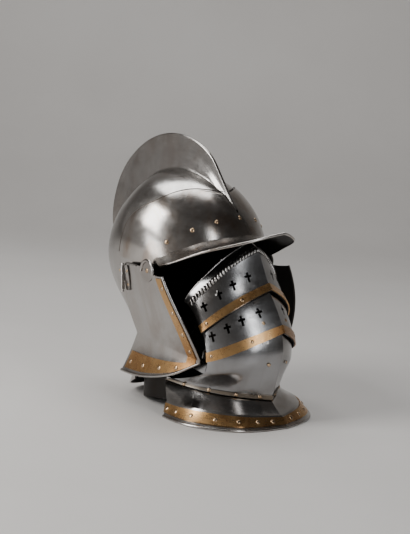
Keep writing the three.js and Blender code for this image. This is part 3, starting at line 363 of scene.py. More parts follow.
class Nodes:
    """Small helper that adds shader nodes and links them."""

    def __init__(self, tree):
        self.tree = tree
        self.coords = self.add("ShaderNodeTexCoord").outputs["Object"]

    def add(self, kind, **values):
        node = self.tree.nodes.new(kind)
        for key, value in values.items():
            setattr(node, key, value)
        return node

    def link(self, a, b):
        self.tree.links.new(a, b)

    def noise(self, scale, detail=4.0, rough=0.55, stretch=None, distortion=0.0):
        node = self.add("ShaderNodeTexNoise")
        node.inputs["Scale"].default_value = scale
        node.inputs["Detail"].default_value = detail
        node.inputs["Roughness"].default_value = rough
        node.inputs["Distortion"].default_value = distortion
        source = self.coords
        if stretch:
            source = self.mapped(stretch)
        self.link(source, node.inputs["Vector"])
        return node.outputs["Fac"]

    def mapped(self, stretch, turn=(0, 0, 0)):
        node = self.add("ShaderNodeMapping")
        node.inputs["Scale"].default_value = stretch
        node.inputs["Rotation"].default_value = turn
        self.link(self.coords, node.inputs["Vector"])
        return node.outputs["Vector"]

    def ramp(self, fac, low, high, a=0.0, b=1.0):
        node = self.add("ShaderNodeMapRange")
        node.inputs["From Min"].default_value = low
        node.inputs["From Max"].default_value = high
        node.inputs["To Min"].default_value = a
        node.inputs["To Max"].default_value = b
        self.link(fac, node.inputs["Value"])
        return node.outputs["Result"]

    def mix(self, fac, a, b):
        node = self.add("ShaderNodeMix", data_type="RGBA")
        for value, socket in ((a, node.inputs[6]), (b, node.inputs[7])):
            if isinstance(value, tuple):
                socket.default_value = (*value, 1)
            else:
                self.link(value, socket)
        self.link(fac, node.inputs[0])
        return node.outputs[2]

    def maths(self, operation, a, b):
        node = self.add("ShaderNodeMath", operation=operation)
        for i, value in enumerate((a, b)):
            if isinstance(value, (int, float)):
                node.inputs[i].default_value = value
            else:
                self.link(value, node.inputs[i])
        return node.outputs[0]


def metal(name, base, dark, tint, rough, wave=0.35, pits=0.35, tint_amount=0.6, patch=0.03):
    """Worn metal: clouds and stains in the colour, a wavy face, scratches and small pits."""
    mat, tree = material(name)
    n = Nodes(tree)
    shader = n.add("ShaderNodeBsdfPrincipled")
    out = n.add("ShaderNodeOutputMaterial")
    n.link(shader.outputs[0], out.inputs[0])
    shader.inputs["Metallic"].default_value = 1.0
    cloud = n.ramp(n.noise(13.0, 5.0, 0.55, distortion=0.4), 0.25, 0.78)
    blot = n.noise(11.0, 6.0, 0.64, stretch=(1.6, 1.6, 0.7), distortion=1.1)
    stain = n.ramp(blot, 0.45, 0.68, 0.0, tint_amount)
    rub = n.ramp(n.noise(34.0, 8.0, 0.72, stretch=(1.0, 1.0, 0.35)), 0.5, 0.72, 0.0, 0.5)
    speck = n.ramp(n.noise(320.0, 3.0, 0.6), 0.67, 0.76, 0.0, pits)
    colour = n.mix(cloud, base, tuple(0.76 * c for c in base))
    colour = n.mix(stain, colour, tint)
    colour = n.mix(rub, colour, tuple(0.68 * c for c in base))
    colour = n.mix(speck, colour, dark)
    n.link(colour, shader.inputs["Base Color"])
    fine = n.noise(95.0, 8.0, 0.7)
    hair = n.noise(75.0, 6.0, 0.75, stretch=(1.0, 1.0, 14.0))
    hair2 = n.noise(60.0, 6.0, 0.75, stretch=(12.0, 3.0, 1.0))
    rough_a = n.ramp(fine, 0.3, 0.75, rough - 0.03, rough + 0.07)
    rough_b = n.maths("ADD", rough_a, n.ramp(hair, 0.5, 0.8, 0.0, 0.08))
    rough_c = n.maths("ADD", rough_b, n.maths("MULTIPLY", cloud, patch))
    n.link(n.maths("ADD", rough_c, n.maths("MULTIPLY", speck, 0.2)), shader.inputs["Roughness"])
    bump = n.add("ShaderNodeBump")
    bump.inputs["Strength"].default_value = 1.0
    bump.inputs["Distance"].default_value = 0.001
    beaten = n.ramp(n.noise(24.0, 2.0, 0.45), 0.2, 0.8, 0.0, wave)
    lines = n.maths("MULTIPLY", n.maths("ADD", hair, hair2), 0.004)
    height = n.maths("ADD", beaten, lines)
    height = n.maths("SUBTRACT", height, n.maths("MULTIPLY", speck, 0.012))
    n.link(height, bump.inputs["Height"])
    n.link(bump.outputs[0], shader.inputs["Normal"])
    return mat


STEEL = metal("polished steel", (0.46, 0.445, 0.43), (0.12, 0.10, 0.08), (0.30, 0.255, 0.225), 0.17,
              tint_amount=0.75)
BROW_STEEL = metal("brow steel", (0.44, 0.42, 0.40), (0.10, 0.08, 0.06), (0.27, 0.21, 0.165), 0.17,
                   tint_amount=0.95)
# A darker copy of the steel for the lames and chin plate: painted shade of faces turned to the dark right
# side.
SHADED_LAME_STEEL = metal("shaded lame steel", (0.34, 0.34, 0.345), (0.07, 0.06, 0.05), (0.20, 0.18, 0.165), 0.18)
# A lighter copy of the steel for the rope rib and the upper lame's lip: painted highlight.
HIGHLIGHT_STEEL = metal("highlight steel", (0.58, 0.57, 0.56), (0.10, 0.09, 0.08), (0.42, 0.38, 0.34), 0.2, wave=0.0)
# Near-black steel: painted shade, used on inner faces, the peak's underside, rope grooves, the rear collar
# and inner arms.
PAINTED_SHADE = metal("painted shade steel", (0.035, 0.032, 0.03), (0.01, 0.01, 0.01), (0.03, 0.022, 0.018), 0.5, wave=0.1)
# Dark brown steel for the bar along the brow plate's rear edge: painted gap shadow, partly grime.
SEAM_SHADE_AND_GRIME = metal("seam_shade_and_grime", (0.10, 0.085, 0.075), (0.02, 0.02, 0.02), (0.06, 0.045, 0.035), 0.45, wave=0.0)
# Dark brownish steel for the neck band.
BAND_MAT = metal("dark band steel", (0.22, 0.19, 0.155), (0.05, 0.04, 0.03), (0.17, 0.13, 0.09), 0.27)
BRASS_MAT = metal("brass", (0.62, 0.375, 0.165), (0.13, 0.06, 0.025), (0.36, 0.18, 0.07), 0.25, pits=0.8,
                  tint_amount=0.95, wave=0.2)
RIVET_MAT = metal("rivet brass", (0.58, 0.42, 0.27), (0.10, 0.06, 0.03), (0.30, 0.19, 0.11), 0.2, wave=0.0)


def two_faced(obj, centre, limit):
    """Faces that turn away from this centre keep the outer finish; the others get the near-black painted
    shade.
    """
    data = obj.data
    data.materials.append(PAINTED_SHADE)
    places = np.empty(len(data.polygons) * 3)
    normals = np.empty(len(data.polygons) * 3)
    data.polygons.foreach_get("center", places)
    data.polygons.foreach_get("normal", normals)
    away = unit(places.reshape(-1, 3) / MM + np.array([0, CENTRE_Y, 0]) - np.asarray(centre, float))
    shown = np.sum(away * normals.reshape(-1, 3), 1) > limit
    data.polygons.foreach_set("material_index", np.where(shown, 0, 1).astype(np.int32))
    return obj


def keep(obj, mat, *nodes):
    """Gives the piece its finish, and lets it stand for these solids."""
    obj.data.materials.clear()
    obj.data.materials.append(mat)
    bodies = {BODY[n] for n in nodes}
    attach(obj, bodies.pop())
    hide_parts(*nodes)
    return obj


def add(name, solid, mat, *nodes, smooth=32):
    return keep(mesh_object(name, solid, smooth), mat, *nodes)


def riding(name, solid, mat, node):
    """An added piece that moves with the body of this solid."""
    obj = mesh_object(name, solid)
    obj.data.materials.append(mat)
    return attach(obj, BODY[node])


# Skull and brow plate
SKULL_S = chord([(row[4], row[0] + 0.6 * (110 - row[2])) for row in SKULL_RINGS])
SKULL_AT = spline(SKULL_S, SKULL_RINGS)
SKULL_FINE = SKULL_AT(np.linspace(0, SKULL_S[-1], 130))
SIDES = 224


def skull_ring(row, off, sides=SIDES):
    z, mid, front, back, half, sharp = row
    rise = (z - DOME_MID_Z) * off / DOME_H if z > DOME_MID_Z else 0.0
    t = np.linspace(0, 2 * math.pi, sides, endpoint=False)
    c, s = np.cos(t), np.sin(t)
    p = 2 / sharp
    reach = np.where(c > 0, front, back) + off
    return np.stack([
        (half + off) * np.sign(s) * np.abs(s) ** p,
        mid - reach * np.sign(c) * np.abs(c) ** p,
        np.full(sides, z + rise),
    ], 1)


def skull_form(off, extra=0.0):
    rings = [skull_ring(row, off) for row in SKULL_FINE]
    rings[0] = rings[0] - np.array([0, 0, extra])
    return loft(rings)


def comb_form(off, rows=150):
    s = chord(np.asarray(COMB)[:, :2])
    fine = spline(s, COMB)(np.linspace(0, s[-1], rows))
    rings = []
    for y, z, foot_y, foot_z in fine:
        edge = np.array([0, y, z])
        foot = np.array([0, foot_y, foot_z])
        up = edge - foot
        height = np.linalg.norm(up)
        up = up / height
        knots = [-off - 1, min(height * 0.3, 9), height * 0.62, height - 2.2 + off]
        widths = [COMB_FOOT + off, COMB_WAIST + 2 + off, COMB_WAIST - 0.6 + off, COMB_EDGE + off]
        h = np.concatenate([np.linspace(knots[0], knots[1], 7), np.linspace(knots[1], knots[3], 10)[1:]])
        w = np.interp(h, knots, widths)
        flare = np.clip((knots[1] - h) / (knots[1] - knots[0]), 0, 1)
        w = w - 1.4 * np.sin(math.pi * flare) * (flare > 0)
        turn = np.linspace(0, math.pi / 2, 6)[1:]
        h = np.concatenate([h, knots[3] + 2.2 * np.sin(turn)])
        w = np.concatenate([w, (COMB_EDGE + off) * np.cos(turn)])
        w[-1] = 0
        right = [foot + up * hh + np.array([ww, 0, 0]) for hh, ww in zip(h, w)]
        left = [p * np.array([-1, 1, 1]) for p in right[:-1]]
        rings.append(right + left[::-1])
    return loft(rings)


def smooth_line(points, n):
    return [tuple(p) for p in curve(np.asarray(points, float), n)]


def on_skull(sign, y, z, off):
    """Point and outward direction on the skull form at a place seen from the side."""
    s = np.interp(z, np.asarray(SKULL_RINGS)[:, 0], SKULL_S)
    for _ in range(6):
        row = SKULL_AT(s)[0]
        step = (SKULL_AT(s + 0.5)[0][0] - SKULL_AT(s - 0.5)[0][0])
        s = s + (z - row[0]) / step
    row = SKULL_AT(s)[0]
    near, far = SKULL_AT(s - 0.5)[0], SKULL_AT(s + 0.5)[0]
    dz = (far - near) / (far[0] - near[0])
    _, mid, front, back, half, sharp = row
    reach = front if y < mid else back
    share = min(abs(y - mid) / reach, 0.9999)
    across = half * (1 - share ** sharp) ** (1 / sharp)
    slope = dz[2] if y < mid else dz[3]
    n = unit(np.array([
        across / half ** 2,
        (y - mid) / reach ** 2,
        -dz[4] / half * (across / half) ** 2 - slope / reach * share ** 2 - dz[1] * (y - mid) / reach ** 2,
    ]))
    n[0] *= sign
    return np.array([sign * across, y, z]) + n * off, n


edge_line = SKULL_EDGE[:8] + smooth_line(SKULL_EDGE[8:18], 50) + SKULL_EDGE[18:] + REAR_WALL
skull = mesh_object("skull_fine", skull_form(0))
boolean(skull, comb_form(0), "UNION")
hollow = mesh_object("hollow", skull_form(-WALL, 5))
boolean(hollow, comb_form(-1.3), "UNION")
boolean(skull, hollow, "DIFFERENCE")
boolean(skull, side_slab(edge_line, -CUT_HALF, CUT_HALF), "INTERSECT")


def axis_point(t):
    foot = np.array([HINGE_X, HINGE_Y - HINGE_LEAN * 17, HINGE_LOW])
    top = np.array([HINGE_X, HINGE_Y + HINGE_LEAN * 17, HINGE_HIGH])
    return foot + (top - foot) * t


AXIS = unit(axis_point(1) - axis_point(0))
HINGE_BACK = unit(np.cross(AXIS, np.array([1.0, 0, 0])))


def barrel(t0, t1, r, sides=24, inner=None):
    turn = np.linspace(0, 2 * math.pi, sides, endpoint=False)
    ring = np.outer(np.cos(turn), np.array([1.0, 0, 0])) + np.outer(np.sin(turn), HINGE_BACK)
    if inner is None:
        return loft([axis_point(t) + r * ring for t in (t0, t1)])
    rings = [axis_point(t) + rr * ring for t, rr in ((t0, inner), (t0, r), (t1, r), (t1, inner), (t0, inner))]
    return loft(rings, close_ends=False)


def to_side(solid, sign, degrees):
    """Turned open about the hinge, and mirrored for the wearer's right."""
    points, faces = solid
    q = Matrix.Rotation(math.radians(degrees), 3, Vector(AXIS))
    foot = axis_point(0)
    moved = (points - foot) @ np.array(q).T + foot
    moved = moved * np.array([sign, 1, 1])
    return outward(moved, faces)


for side in (1, -1):
    boolean(skull, to_side(barrel(-0.12, 1.12, BARREL_R + BARREL_GAP), side, 0), "DIFFERENCE")
shade(skull)
keep(skull, STEEL, "skull")
two_faced(skull, MIDDLE_OF_HEAD, -0.02)

peak_table = np.asarray(PEAK, float)
peak_s = chord(peak_table[:, 3:])
peak_fine = spline(peak_s, peak_table)(np.linspace(0, peak_s[-1], 70))
brow_plan = (
    smooth_line(BROW_REAR, 70) + [(-52, 300), (-100, 300), (-100, 243)]
    + [(row[1] - 1.5, row[2] - 2.5) for row in peak_fine if row[1] < -17] + [(-14, 199.5)] + BROW_LOWER[::-1]
)
brow = mesh_object("brow_fine", skull_form(BROW_IN + WALL))
boolean(brow, skull_form(BROW_IN), "DIFFERENCE")
boolean(brow, side_slab(brow_plan, -CUT_HALF, CUT_HALF), "INTERSECT")
peak_rows = []
for t in np.linspace(0, 1, 22):
    row = peak_fine[:, :3] * (1 - t) + peak_fine[:, 3:] * t
    row[:, 2] -= PEAK_DIP * math.sin(math.pi * t) * (1 - peak_fine[:, 0] / 110)
    peak_rows.append(mirrored(row))
boolean(brow, plate(peak_rows, (0, 0, -400), PEAK_HALF, -PEAK_HALF), "UNION")
boolean(brow, bar(peak_rows[-1], PEAK_RIM_R), "UNION")
boolean(brow, skull_form(BROW_IN - 0.02), "DIFFERENCE")
boolean(brow, comb_form(0.4), "DIFFERENCE")
shade(brow, 28)
keep(brow, BROW_STEEL, "brow_plate")
# The peak's underside and the plate's inner faces get painted shade.
two_faced(brow, MIDDLE_OF_HEAD, 0.2)

# A thin dark bar along the brow plate's rear edge: painted gap shadow, partly grime in the seam.
rear_line = smooth_line(BROW_REAR, 90)[2:-2]
for sign, label in ((-1, "right"), (1, "left")):
    seam_shade_and_grime = [on_skull(sign, y, z, BROW_IN + WALL - 0.3)[0] for y, z in rear_line]
    riding(f"brow_seam_shade_and_grime_{label}", bar(seam_shade_and_grime, 0.75, 10), SEAM_SHADE_AND_GRIME, "brow_plate")

for i, (y, z) in enumerate(BROW_RIVETS, 1):
    for sign, label in ((-1, "right"), (1, "left")):
        p, n = on_skull(sign, y, z, BROW_IN + WALL)
        add(f"brow_dome_{label}_{i}", dome(p, n, RIVET_R, RIVET_H), RIVET_MAT, f"brow_rivet_{label}_{i}")
p, n = on_skull(1, -56.2, 267, 0)
n = unit(n * np.array([0, 1, 1]))
add("brow_dome_middle", dome(p * np.array([0, 1, 1]) + n * (BROW_IN + WALL), n, RIVET_R, RIVET_H), RIVET_MAT,
    "brow_rivet_middle")

# Buffe
INSIDE = (0, -10, 90)
BEHIND_BUFFE = (0, PIVOT_Y + 10, PIVOT_Z - 6)
ARM_WIDTH, ARM_EYE_R, CUT_DEPTH = 15, 9, 12
for spec in (UPPER, MIDDLE, CHIN):
    spec["reach_at"] = spline(*zip(*spec["reach"]))


def ends(spec, angle):
    xs, ys = zip(*spec["ends"])
    return np.interp(angle, xs, ys)


def hung(spec, angle, q):
    """The angle and reach of a line; the upper lame's crease and strip hang towards the sides."""
    reach = spec["reach_at"]
    full = reach(angle)
    if spec is not UPPER:
        return angle, full
    drop = np.interp((1 - q ** PLAN_POWER) / FULL, *zip(*HANG))
    lowered = HANG_FROM + (angle - HANG_FROM) * (FACE_SPAN - drop) / FACE_SPAN
    face = np.where(angle <= HANG_FROM, angle, lowered)
    strip = angle - drop * (1 - (1 - LIP_HANG) * (angle - CREASE) / (STRIP_TOP - CREASE))
    on_face = angle <= CREASE
    lifted = reach(CREASE - drop) + full - reach(CREASE)
    return np.where(on_face, face, strip), np.where(on_face, reach(face), lifted)


def lame_point(spec, angle, q, sign=1):
    angle, q, sign = np.broadcast_arrays(np.asarray(angle, float), np.asarray(q, float), sign)
    level, full = hung(spec, angle.ravel(), q.ravel())
    level, full = level.reshape(angle.shape), full.reshape(angle.shape)
    aside = (1 - q) / (1 - Q_END)
    a = np.radians(level + (ends(spec, angle) - angle) * aside)
    return np.stack([
        sign * spec["half"] * (1 - q ** PLAN_POWER),
        PIVOT_Y - full * q * np.cos(a),
        PIVOT_Z + full * q * np.sin(a),
    ], -1)


def q_of(share):
    return (1 - share) ** (1 / PLAN_POWER)


def lame_grid(spec, angles, cols=60):
    shares = np.linspace(0, 1, cols) ** 0.9 * FULL
    q = q_of(shares)
    near = lame_point(spec, angles[:, None], q[None, :], 1)
    far = near[:, :0:-1] * np.array([-1, 1, 1])
    return np.concatenate([far, near], 1)


def spot(spec, angle, q, sign):
    p = lame_point(spec, angle, q, sign)
    du = lame_point(spec, angle + 0.5, q, sign) - lame_point(spec, angle - 0.5, q, sign)
    dv = lame_point(spec, angle, q - 0.004, sign) - lame_point(spec, angle, min(q + 0.004, 1), sign)
    n = unit(np.cross(du, dv))
    if np.dot(n, p - np.array(INSIDE)) < 0:
        n = -n
    return p, n, unit(du)


def arms(spec, angle):
    out = []
    for sign in (-1, 1):
        x = sign * (spec["half"] * FULL - ARM_LEVEL)
        a = math.radians(angle)
        along = np.array([0, -math.cos(a), math.sin(a)])
        across = np.array([0, math.sin(a), math.cos(a)])
        reach = float(spec["reach_at"](angle)[0]) * Q_END + 0.5
        centre = np.array([x, PIVOT_Y, PIVOT_Z])
        middle = centre + along * reach / 2
        out.append(block(middle, np.array([1.0, 0, 0]), along, across, LAME_WALL, reach, ARM_WIDTH))
        eye = [(ARM_EYE_R, 0), (ARM_EYE_R, LAME_WALL)]
        out.append(turned(centre - np.array([LAME_WALL / 2, 0, 0]), (1, 0, 0), eye))
    return out


def cross_cut(spec, angle, share, sign):
    p, n, up = spot(spec, angle, q_of(share), sign)
    side = unit(np.cross(n, up))
    tall = block(p, side, up, n, CROSS_BAR, CROSS_H, CUT_DEPTH)
    wide = block(p + up * CROSS_H * 0.1, side, up, n, CROSS_W, CROSS_BAR, CUT_DEPTH)
    return tall, wide


def lame(name, spec, grid, crosses, arm_angle, mat, *nodes):
    obj = mesh_object(name, plate(grid, INSIDE, 0, -LAME_WALL))
    for piece in arms(spec, arm_angle):
        boolean(obj, piece, "UNION")
    for angle, share in crosses:
        for sign in (-1, 1):
            for piece in cross_cut(spec, angle, share, sign):
                boolean(obj, piece, "DIFFERENCE")
    shade(obj, 24)
    keep(obj, mat, *nodes)
    return two_faced(obj, BEHIND_BUFFE, 0.12)


upper_angles = np.concatenate([
    np.linspace(45.5, 63.6, 22), np.linspace(63.9, 70.1, 42), np.linspace(70.4, STRIP_TOP, 8),
])
COLS = 420
upper_grid = lame_grid(UPPER, upper_angles, COLS)
upper_normals = grid_normals(upper_grid, INSIDE)
rib_row = int(np.argmin(np.abs(upper_angles - RIB_MID)))
lame("upper_lame_fine", UPPER, upper_grid, UPPER_CROSSES, 54, SHADED_LAME_STEEL, "upper_lame")


def rope(name, path, outs, radius, pitch, step, node):
    """A rib like a twisted rope: strands that slant across it, with grooves between them painted near black
    as painted shade.
    """
    s = chord(path)
    middle = s[-1] / 2
    count = int(s[-1] / step)
    t = np.linspace(0, s[-1], count)
    line = np.stack([np.interp(t, s, path[:, k]) for k in range(3)], 1)
    out = unit(np.stack([np.interp(t, s, outs[:, k]) for k in range(3)], 1))
    along = unit(np.gradient(line, axis=0))
    up = unit(np.cross(along, out))
    up *= np.where(up[:, 2:] < 0, -1, 1)
    sides = 22
    turns = np.linspace(0, 2 * math.pi, sides, endpoint=False)
    phase = np.abs(t - middle)[:, None] / pitch + ROPE_SLANT * np.sin(turns)[None, :] / 2
    groove = np.exp(-((phase % 1.0 - 0.5) / 0.2) ** 2)
    reach = radius * (1 - 0.45 * groove)
    rings = (
        line[:, None] + out[:, None] * (0.75 * reach * np.cos(turns))[..., None]
        + up[:, None] * (reach * np.sin(turns))[..., None]
    )
    obj = riding(name, loft(rings), HIGHLIGHT_STEEL, node)
    # The grooves get the near-black material: painted shade.
    obj.data.materials.append(PAINTED_SHADE)
    shaded_grooves = (groove[:-1] + groove[1:]).ravel() / 2 > 0.42
    index = np.zeros(len(obj.data.polygons), np.int32)
    index[:len(shaded_grooves)] = shaded_grooves
    obj.data.polygons.foreach_set("material_index", index)
    return obj


rib_line, rib_outs = upper_grid[rib_row][4:-4], upper_normals[rib_row][4:-4]
rope("rope_rib", rib_line, rib_outs, RIB_HALF, RIB_PITCH, 0.5, "upper_lame")
# The lip gets the lighter steel: painted highlight.
riding("upper_lame_lip", bar(upper_grid[-1][6:-6:3], 0.9), HIGHLIGHT_STEEL, "upper_lame")
lame("middle_lame_fine", MIDDLE, lame_grid(MIDDLE, np.linspace(19.6, 49, 30)), MIDDLE_CROSSES, 24, SHADED_LAME_STEEL,
     "middle_lame")


def brass_band(name, spec, limits, rivets, node):
    grid = lame_grid(spec, np.linspace(*limits, 6))
    strip = plate(grid, INSIDE, GAP + BRASS + 0.65, GAP - 0.05)
    solids = []
    mid = sum(limits) / 2
    for share in rivets:
        for sign in (-1, 1):
            p, n, _ = spot(spec, mid, q_of(share), sign)
            solids.append(dome(p + n * (GAP + BRASS + 0.6), n, SMALL_RIVET_R, RIVET_H * 0.8))
    riding(name + "_domes", several(solids), RIVET_MAT, node)
    return add(name, strip, BRASS_MAT, node)


brass_band("upper_band_fine", UPPER, BAND_1, [0.47, 0.9], "upper_lame_band")
brass_band("middle_band_fine", MIDDLE, BAND_2, [0.5, 0.92], "middle_lame_band")

chin_cols = 60
chin_shares = np.linspace(0, 1, chin_cols) ** 0.9
chin_half = lame_point(CHIN, -8.0, q_of(chin_shares * FULL), 1)


COLUMN_Q = np.array([1, 0.975, 0.945, 0.905, 0.855, 0.79, 0.705, 0.6, 0.48])
chin_q = q_of(chin_shares * FULL)
neck_t = np.interp(-chin_q, -COLUMN_Q, np.linspace(0, 1, 9))
neck_s = spline(np.linspace(0, 1, len(NECK)), NECK)
chin_neck = mirrored(neck_s(neck_t))
chin_low = mirrored(chin_half)
CHIN_TURN = 8.0
chin_top = lame_grid(CHIN, np.linspace(23.5, CHIN_TURN, 18), chin_cols)


def chin_row(t):
    """Rows of the skirt, which leaves the plate's face in one smooth hollow down to the neck."""
    return chin_top[-1] * (1 - t) ** 2 + chin_low * 2 * t * (1 - t) + chin_neck * t * t


chin_skirt = [chin_row(t) for t in np.linspace(0, 1, 44)[1:]]
chin_grid = np.concatenate([chin_top, np.array(chin_skirt)])
lame("chin_plate_fine", CHIN, chin_grid, [], -10, SHADED_LAME_STEEL, "chin_plate")
band_rows = np.array([chin_row(t) for t in np.linspace(0.905, 1, 5)])
band_normals = grid_normals(band_rows, INSIDE)
neck_band = plate(band_rows, INSIDE, GAP + BRASS + 0.35, GAP, normals=band_normals)
neck_heads = []
for step in (1, 2.9, 4.7, 6.4):
    k = chin_cols - 1 + int(round(np.interp(step, range(9), np.interp(-COLUMN_Q, -chin_q, range(chin_cols)))))
    for j in (k, 2 * chin_cols - 2 - k):
        p, n = band_rows[2][j], band_normals[2][j]
        neck_heads.append(dome(p + n * (GAP + BRASS + 0.3), n, SMALL_RIVET_R, RIVET_H))
add("neck_band_fine", neck_band, BAND_MAT, "neck_band")
riding("neck_domes", several(neck_heads), RIVET_MAT, "neck_band")

# Gorget
GORGET_IN = (0, -30, -60)
LINE_N = 90
t_line = np.linspace(0, 1, LINE_N)
neck_line = mirrored(spline(np.linspace(0, 1, 7), NECK)(t_line))
mid_line = mirrored(spline(np.linspace(0, 1, 7), GORGET_MID)(t_line))
rim_line = mirrored(spline(np.linspace(0, 1, 7), GORGET_RIM)(t_line))
DOWN = np.array([0, 0, -1.0])


def blend_rows(a, b, t, sag):
    return a * (1 - t) + b * t + DOWN * sag


def tuck(row, d):
    along = np.gradient(row, axis=0)
    flat = unit(np.stack([along[:, 1], along[:, 0], along[:, 0] * 0], 1) * np.array([1, -1, 1]))
    centre = np.array([0, -60, 0])
    away = np.sum(flat * (row - centre), 1, keepdims=True)
    return row - np.where(away < 0, -flat, flat) * d


TUCK = LAME_WALL + 1.3
flare = [blend_rows(neck_line, mid_line, t, 7.3 * t * (1 - t)) for t in np.linspace(0.12, 1, 20)]
skirt = [blend_rows(mid_line, rim_line, t, 3.2 * t * (1 - t)) for t in np.linspace(0, 1, 12)[1:]]
gorget_rows = [tuck(neck_line - DOWN * 3, TUCK), tuck(neck_line + DOWN * 1.4, TUCK)] + flare + skirt
gorget = mesh_object("gorget_fine", plate(gorget_rows, GORGET_IN, 0, -LAME_WALL))
boolean(gorget, bar(rim_line + DOWN * 1.6, RIM_R + 0.2), "UNION")
boolean(gorget, side_slab(ABOVE_FLOOR, -CUT_HALF, CUT_HALF), "INTERSECT")
shade(gorget, 26)
keep(gorget, STEEL, "gorget_plate")
two_faced(gorget, UNDER_GORGET, 0.0)
border_rows = np.array([
    blend_rows(mid_line, rim_line, t, 3.2 * t * (1 - t)) for t in np.linspace(0.15, 0.8, 9)
])
border_normals = grid_normals(border_rows, GORGET_IN)
border_strip = plate(border_rows, GORGET_IN, GAP + BRASS + 0.25, GAP, normals=border_normals)
border_heads = []
for step in (0.86, 2, 3.15, 4.3, 5.45, 6.6, 7.6):
    k = LINE_N - 1 + int(round(step / 8 * (LINE_N - 1)))
    for j in (k, 2 * LINE_N - 2 - k):
        p, n = border_rows[4][j], border_normals[4][j]
        border_heads.append(dome(p + n * (GAP + BRASS + 0.2), n, RIVET_R, RIVET_H))
add("gorget_border_fine", border_strip, BRASS_MAT, "gorget_border")
riding("gorget_domes", several(border_heads), RIVET_MAT, "gorget_border")

# Rear collar
def collar_line(row, lows):
    z, end_x, end_y, front_x, front_y, side, side_y, turn_x, turn_y, back = row
    half = np.array([
        (0, back, lows[4]), (turn_x * 0.55, back * 0.78 + turn_y * 0.22, (lows[3] + lows[4]) / 2),
        (turn_x, turn_y, lows[3]), (side, side_y, lows[2]), (front_x, front_y, lows[1]),
        (end_x, end_y, lows[0]),
    ], float)
    return curve(mirrored(half), 141)


collar_rows = [collar_line(row, [row[0]] * 5) for row in COLLAR[:2]] + [collar_line(COLLAR[2], COLLAR_LOW)]
collar_at = spline([0, 1, 2], np.array(collar_rows).reshape(3, -1))
collar_grid = collar_at(np.linspace(0, 2, 14)).reshape(14, -1, 3)
collar = mesh_object("rear_collar_fine", plate(collar_grid, (0, 0, 20), 0, -LAME_WALL))
boolean(collar, side_slab(ABOVE_FLOOR, -CUT_HALF, CUT_HALF), "INTERSECT")
shade(collar)
# The whole collar gets the near-black material: painted shade.
keep(collar, PAINTED_SHADE, "rear_collar")

# Loose rivets of the lames
for name, spec, angle, share in (("middle_lame_rivet", MIDDLE, 29.8, 0.27), ("chin_rivet", CHIN, 3.2, 0.22)):
    for sign, label in ((-1, "right"), (1, "left")):
        p, n, _ = spot(spec, angle, q_of(share), sign)
        add(f"{name}_dome_{label}", dome(p + n * 0.1, n, SMALL_RIVET_R, 1.2), RIVET_MAT, f"{name}_{label}")

# Cheeks
C = 7
SWELL_IN, SWELL_BACK, SWELL_FRONT = 3.7, 5, 14.3
RIM_AT = spline(np.linspace(0, C, 6), CHEEK_RIM)
WAIST_AT = spline(np.linspace(0, C, 6), CHEEK_WAIST)
TOP_AT = spline(np.linspace(0, C, 6), CHEEK_TOP)
V_LOW = [(0, 0), (1, 0.3), (2, 0.7), (3, 1)]
V_HIGH = [(3, 0), (4, 0.2), (5, 0.45), (6, 0.72), (7, 1)]


def cheek_rows(us, vs):
    us = np.asarray(us, float)
    rim, waist, top = RIM_AT(us), WAIST_AT(us), TOP_AT(us)
    rows = []
    for v in vs:
        if v <= 3:
            t = np.interp(v, *zip(*V_LOW))
            q = rim * (1 - t) + waist * t
            q[:, 0] = waist[:, 0] + (rim[:, 0] - waist[:, 0]) * (1 - t) ** 1.7
        else:
            t = np.interp(v, *zip(*V_HIGH))
            q = waist * (1 - t) + top * t
            swell = math.sin(math.pi * t)
            bow = (top[:, 0] - waist[:, 0]) * math.sin(math.pi / 2 * t)
            q[:, 0] = waist[:, 0] + bow - SWELL_IN * swell * us / C
            q[:, 1] += swell * (SWELL_BACK - SWELL_FRONT * us / C)
        rows.append(q)
    return np.array(rows)


CHEEK_IN = (0, 0, 100)


def cheek_spot(u, v):
    p = cheek_rows([u], [v])[0][0]
    du = cheek_rows([min(u + 0.2, C)], [v])[0][0] - cheek_rows([max(u - 0.2, 0)], [v])[0][0]
    dv = cheek_rows([u], [min(v + 0.1, 7)])[0][0] - cheek_rows([u], [max(v - 0.1, 0)])[0][0]
    n = unit(np.cross(du, dv))
    return p, (n if n[0] > 0 else -n)


def spot_near(y, z):
    us = np.linspace(0, C, 57)
    vs = np.linspace(3, 7, 81)
    rows = cheek_rows(us, vs)
    d = np.hypot(rows[..., 1] - y, rows[..., 2] - z)
    i, j = np.unravel_index(np.argmin(d), d.shape)
    return cheek_spot(us[j], vs[i])


def cheek_level(y, z):
    """Point of the cheek at a place seen from the side, found by steps."""
    u, v = 1.0, 5.5
    for _ in range(12):
        p = cheek_rows([u], [v])[0][0]
        du = (cheek_rows([u + 0.05], [v])[0][0] - p) / 0.05
        dv = (cheek_rows([u], [v + 0.05])[0][0] - p) / 0.05
        step = np.linalg.solve(np.array([[du[1], dv[1]], [du[2], dv[2]]]), np.array([y - p[1], z - p[2]]))
        u = min(max(u + step[0], 0.0), C - 0.1)
        v = min(max(v + step[1], 3.01), 6.94)
    return cheek_rows([u], [v])[0][0]


def skull_level(y, z):
    return on_skull(1, y, z, 0)[0]


us = np.linspace(0, C, 64)
vs = np.concatenate([np.linspace(0, 3, 28), np.linspace(3, 7, 44)[1:]])
cheek_grid = cheek_rows(us, vs)
front_edge = cheek_rows([C], np.linspace(2.2, 7, 60))[:, 0]
rim_path = cheek_grid[0]
corner_path = cheek_rows([C], np.linspace(0, 3, 24))[:, 0]
top_edge = cheek_rows(np.linspace(0.75, 2.4, 20), [7])[0]
lug_p, _ = spot_near(LUG_Y, LUG_Z)
lug_c = np.array([lug_p[0], LUG_Y, LUG_Z])


def lug_ring(d, n=48):
    t = np.linspace(0, 2 * math.pi, n, endpoint=False)
    up = LUG_R * np.sin(t)
    return np.stack([lug_c[0] + d - np.maximum(up, 0) * 0.02, lug_c[1] + LUG_R * np.cos(t), lug_c[2] + up], 1)


